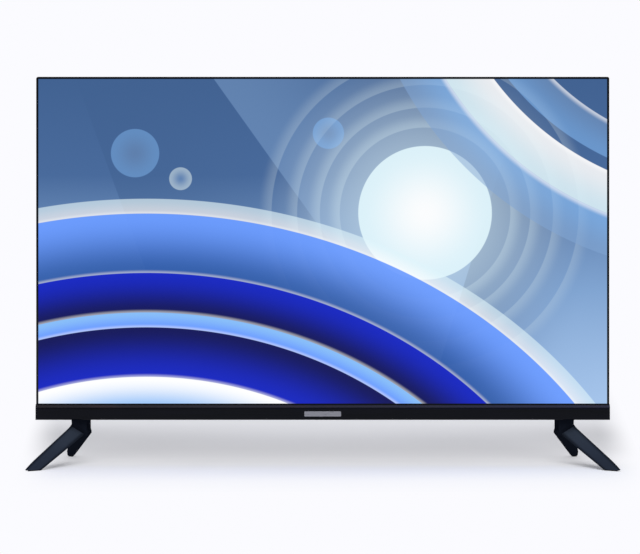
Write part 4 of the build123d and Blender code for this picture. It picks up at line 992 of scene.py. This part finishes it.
# %% Marks beside keys and sockets
BACKWARD = (0, 1, 0)
UPWARD = (0, 0, 1)
MARK_GAP = 0.0034
KEY_PROUD = 0.0009
COVER_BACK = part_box("key_power")[1].y - KEY_PROUD
NICHE_FACE = 0.2030
NICHE_MARK_Y = 0.0378
print("cover back at the keys, mm:", round(COVER_BACK * 1000, 2))


def mark_keys():
    """One mark beside each key, on the side away from the set's edge."""
    for key, strokes in KEY_MARKS.items():
        low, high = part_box(key)
        place = (low.x - MARK_GAP, COVER_BACK, (low.z + high.z) / 2)
        raised_mark(key + "_mark", strokes, place, BACKWARD, UPWARD)


def mark_sockets():
    """Numbers beside the sockets of one kind, on the floor of the niche they open into."""
    for sockets, (wide, marks) in SOCKET_MARKS.items():
        low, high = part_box(sockets)
        side = 1 if low.x > 0 else -1
        pitch = (high.z - low.z - wide) / max(len(marks) - 1, 1)
        for index, strokes in enumerate(marks):
            place = (side * NICHE_FACE, NICHE_MARK_Y, low.z + wide / 2 + index * pitch)
            raised_mark(f"{sockets}_mark_{index + 1}", strokes, place, (side, 0, 0), UPWARD)


mark_keys()
mark_sockets()

# %% [markdown]
# ## Floor and backdrop
# The set stands on a pale sheet that runs out to nothing.  Near the set the
# sheet is matt and takes a soft shadow.  Farther off it goes over to the same
# plain white that stands behind, so that no horizon shows.  That white glows, and
# a ramp along the sheet says how much of it is mixed in: a good part right under
# the set, painted light that keeps its shadow airy, next to none behind it, and
# all of it far away.  The shadow of a wide lamp thins out towards its ends, so a
# grey is painted into the sheet there as painted shade, which keeps the shade
# even over its whole width.

# %% The pale floor
FLOOR_HALF = 9.0
SHADE_SHIFT = 0.010
SHADE_SIDE = 0.340
SHADE_SIDE_FADE = 0.056
SHADE_SPREAD = 0.15
# a grey painted into the sheet as shade at the ends of the shadow, and how its share runs
PAINTED_SHADE_GREY = (0.49, 0.49, 0.50, 1.0)
DUSK_CURVE = 2.9
DUSK_START = 0.03
DUSK_RISE = 0.15
DUSK_FALL_START = 0.36
DUSK_FALL = 0.30
DUSK_FALL_SHARE = 0.8
# the share of glowing white along the sheet: near the set it is painted light that lifts the shadow, far
# off it is the plain backdrop
GLOW_STOPS = (
    (-0.30, 1.00), (-0.18, 0.72), (-0.14, 0.47), (-0.10, 0.24), (-0.06, 0.11), (-0.02, 0.12),
    (0.025, 0.42), (0.07, 0.44), (0.12, 0.37), (0.17, 0.29), (0.28, 0.09), (0.40, 0.0), (0.70, 0.0),
    (1.60, 1.0),
)
FLOOR_WHITE = swatch("fbfcff")


def glow_share(aside, y):
    """How much glowing white is mixed in: all of it at the sides and far away, and near the set a share
    that is painted light lifting the shadow.
    """
    side = smooth((aside - y * SHADE_SPREAD - SHADE_SIDE) / SHADE_SIDE_FADE)
    near, far = GLOW_STOPS[0][0], GLOW_STOPS[-1][0]
    stops = [((at - near) / (far - near), (share, share, share, 1.0)) for at, share in GLOW_STOPS]
    white = y.node("ShaderNodeValToRGB", {"stops": stops}, {0: (y - near) / (far - near)})
    white.socket.node.color_ramp.interpolation = "CARDINAL"
    return 1 - (1 - side) * (1 - white)


def painted_shade_share(aside, y):
    """How much painted shade is mixed in: most at the ends of the shadow, and nothing in front."""
    rises = smooth((y - DUSK_START) / DUSK_RISE)
    falls = 1 - smooth((y - DUSK_FALL_START) / DUSK_FALL) * DUSK_FALL_SHARE
    return (aside * aside * DUSK_CURVE).clamp() * rises * falls


def floor_paper():
    """Matt paper with painted shade at the ends of the shadow and painted light under the set, that goes
    over to plain white.
    """
    material = bpy.data.materials.new("floor_paper")
    material.use_nodes = True
    tree = material.node_tree
    tree.nodes.remove(tree.nodes["Principled BSDF"])
    wire = Wire(tree)
    place = wire.node("ShaderNodeTexCoord", None, None, "Object")
    aside = abs(place.part("X") - SHADE_SHIFT)
    y = place.part("Y")
    matt = wire.node("ShaderNodeBsdfDiffuse", None, {"Color": FLOOR_WHITE})
    painted_shade = wire.node("ShaderNodeBsdfDiffuse", None, {"Color": PAINTED_SHADE_GREY})
    paper = wire.node("ShaderNodeEmission", None, {"Color": PAPER, "Strength": 1.0})
    # painted shade: a grey mixed into the matt sheet at the ends of the shadow
    sheet = wire.node("ShaderNodeMixShader", None, {0: painted_shade_share(aside, y), 1: matt, 2: painted_shade})
    # glowing white over the sheet: painted light near the set, plain white far off
    mixed = wire.node("ShaderNodeMixShader", None, {0: glow_share(aside, y), 1: sheet, 2: paper})
    tree.links.new(mixed.socket, tree.nodes["Material Output"].inputs["Surface"])
    return material


def pale_floor():
    signs = ((-1, -1), (1, -1), (1, 1), (-1, 1))
    corners = [(x * FLOOR_HALF, y * FLOOR_HALF, 0.0) for x, y in signs]
    mesh = bpy.data.meshes.new("floor_sheet")
    mesh.from_pydata(corners, [], [(0, 1, 2, 3)])
    mesh.materials.append(floor_paper())
    floor = bpy.data.objects.new("floor_sheet", mesh)
    bpy.context.scene.collection.objects.link(floor)


pale_floor()
print("floor:", 2 * FLOOR_HALF, "m wide, stops in its ramp:", len(GLOW_STOPS))

# %% [markdown]
# ## Light
# A white room lights the set evenly, and one broad lamp above and in front
# gives the shadow its direction, so that it falls behind the set.  A weaker lamp
# behind keeps the rear cover readable.  What the gloss sees is a studio: bright
# overhead and behind, and dim where the eye stands, which is why a glossy black
# chin stays black.  The room's white has a trace of blue, which cools the shade.

# %% World and lamps
ROOM_WHITE = (1.0, 1.0, 1.05, 1.0)
ROOM_STRENGTH = 0.46
GLOSS_DIM = 0.04
GLOSS_BRIGHT = 0.60
BRIGHT_REAR = 0.8
BRIGHT_LIFT = 0.35
BRIGHT_FADE = 0.9
FRONT_LAMP = (0.1, -2.3, 2.9)
FRONT_POWER = 82.0
BACK_LAMP = (-0.3, 2.4, 2.4)
BACK_POWER = 14.0
LAMP_AIM = Vector((0.0, 0.0, 0.2))
LAMP_SIZE = 3.0


def white_room():
    """A world that is plain white to the eye, even to matt faces and a studio to gloss."""
    world = bpy.data.worlds.new("white_room")
    bpy.context.scene.world = world
    world.use_nodes = True
    tree = world.node_tree
    background = tree.nodes["Background"]
    wire = Wire(tree)
    way = wire.node("ShaderNodeTexCoord", None, None, "Generated")
    direct = wire.node("ShaderNodeLightPath", None, None, "Is Camera Ray")
    through = wire.node("ShaderNodeLightPath", None, None, "Is Transmission Ray")
    seen = direct.math("MAXIMUM", direct, through)
    gloss = wire.node("ShaderNodeLightPath", None, None, "Is Glossy Ray")
    bright = smooth((way.part("Z") + way.part("Y") * BRIGHT_REAR + BRIGHT_LIFT) / BRIGHT_FADE)
    studio = GLOSS_DIM + bright * (GLOSS_BRIGHT - GLOSS_DIM)
    strength = ROOM_STRENGTH + (studio - ROOM_STRENGTH) * gloss
    strength = strength + (1 - strength) * seen
    tree.links.new(strength.socket, background.inputs["Strength"])
    tree.links.new(wire.solid(ROOM_WHITE).tint(seen, PAPER).socket, background.inputs["Color"])


def broad_lamp(name, place, power):
    data = bpy.data.lights.new(name, "AREA")
    data.shape = "SQUARE"
    data.size = LAMP_SIZE
    data.energy = power
    lamp = bpy.data.objects.new(name, data)
    lamp.location = place
    lamp.rotation_euler = (LAMP_AIM - Vector(place)).to_track_quat("-Z", "Y").to_euler()
    bpy.context.scene.collection.objects.link(lamp)


white_room()
broad_lamp("front_lamp", FRONT_LAMP, FRONT_POWER)
broad_lamp("back_lamp", BACK_LAMP, BACK_POWER)
print("lamps, watts:", FRONT_POWER, BACK_POWER)
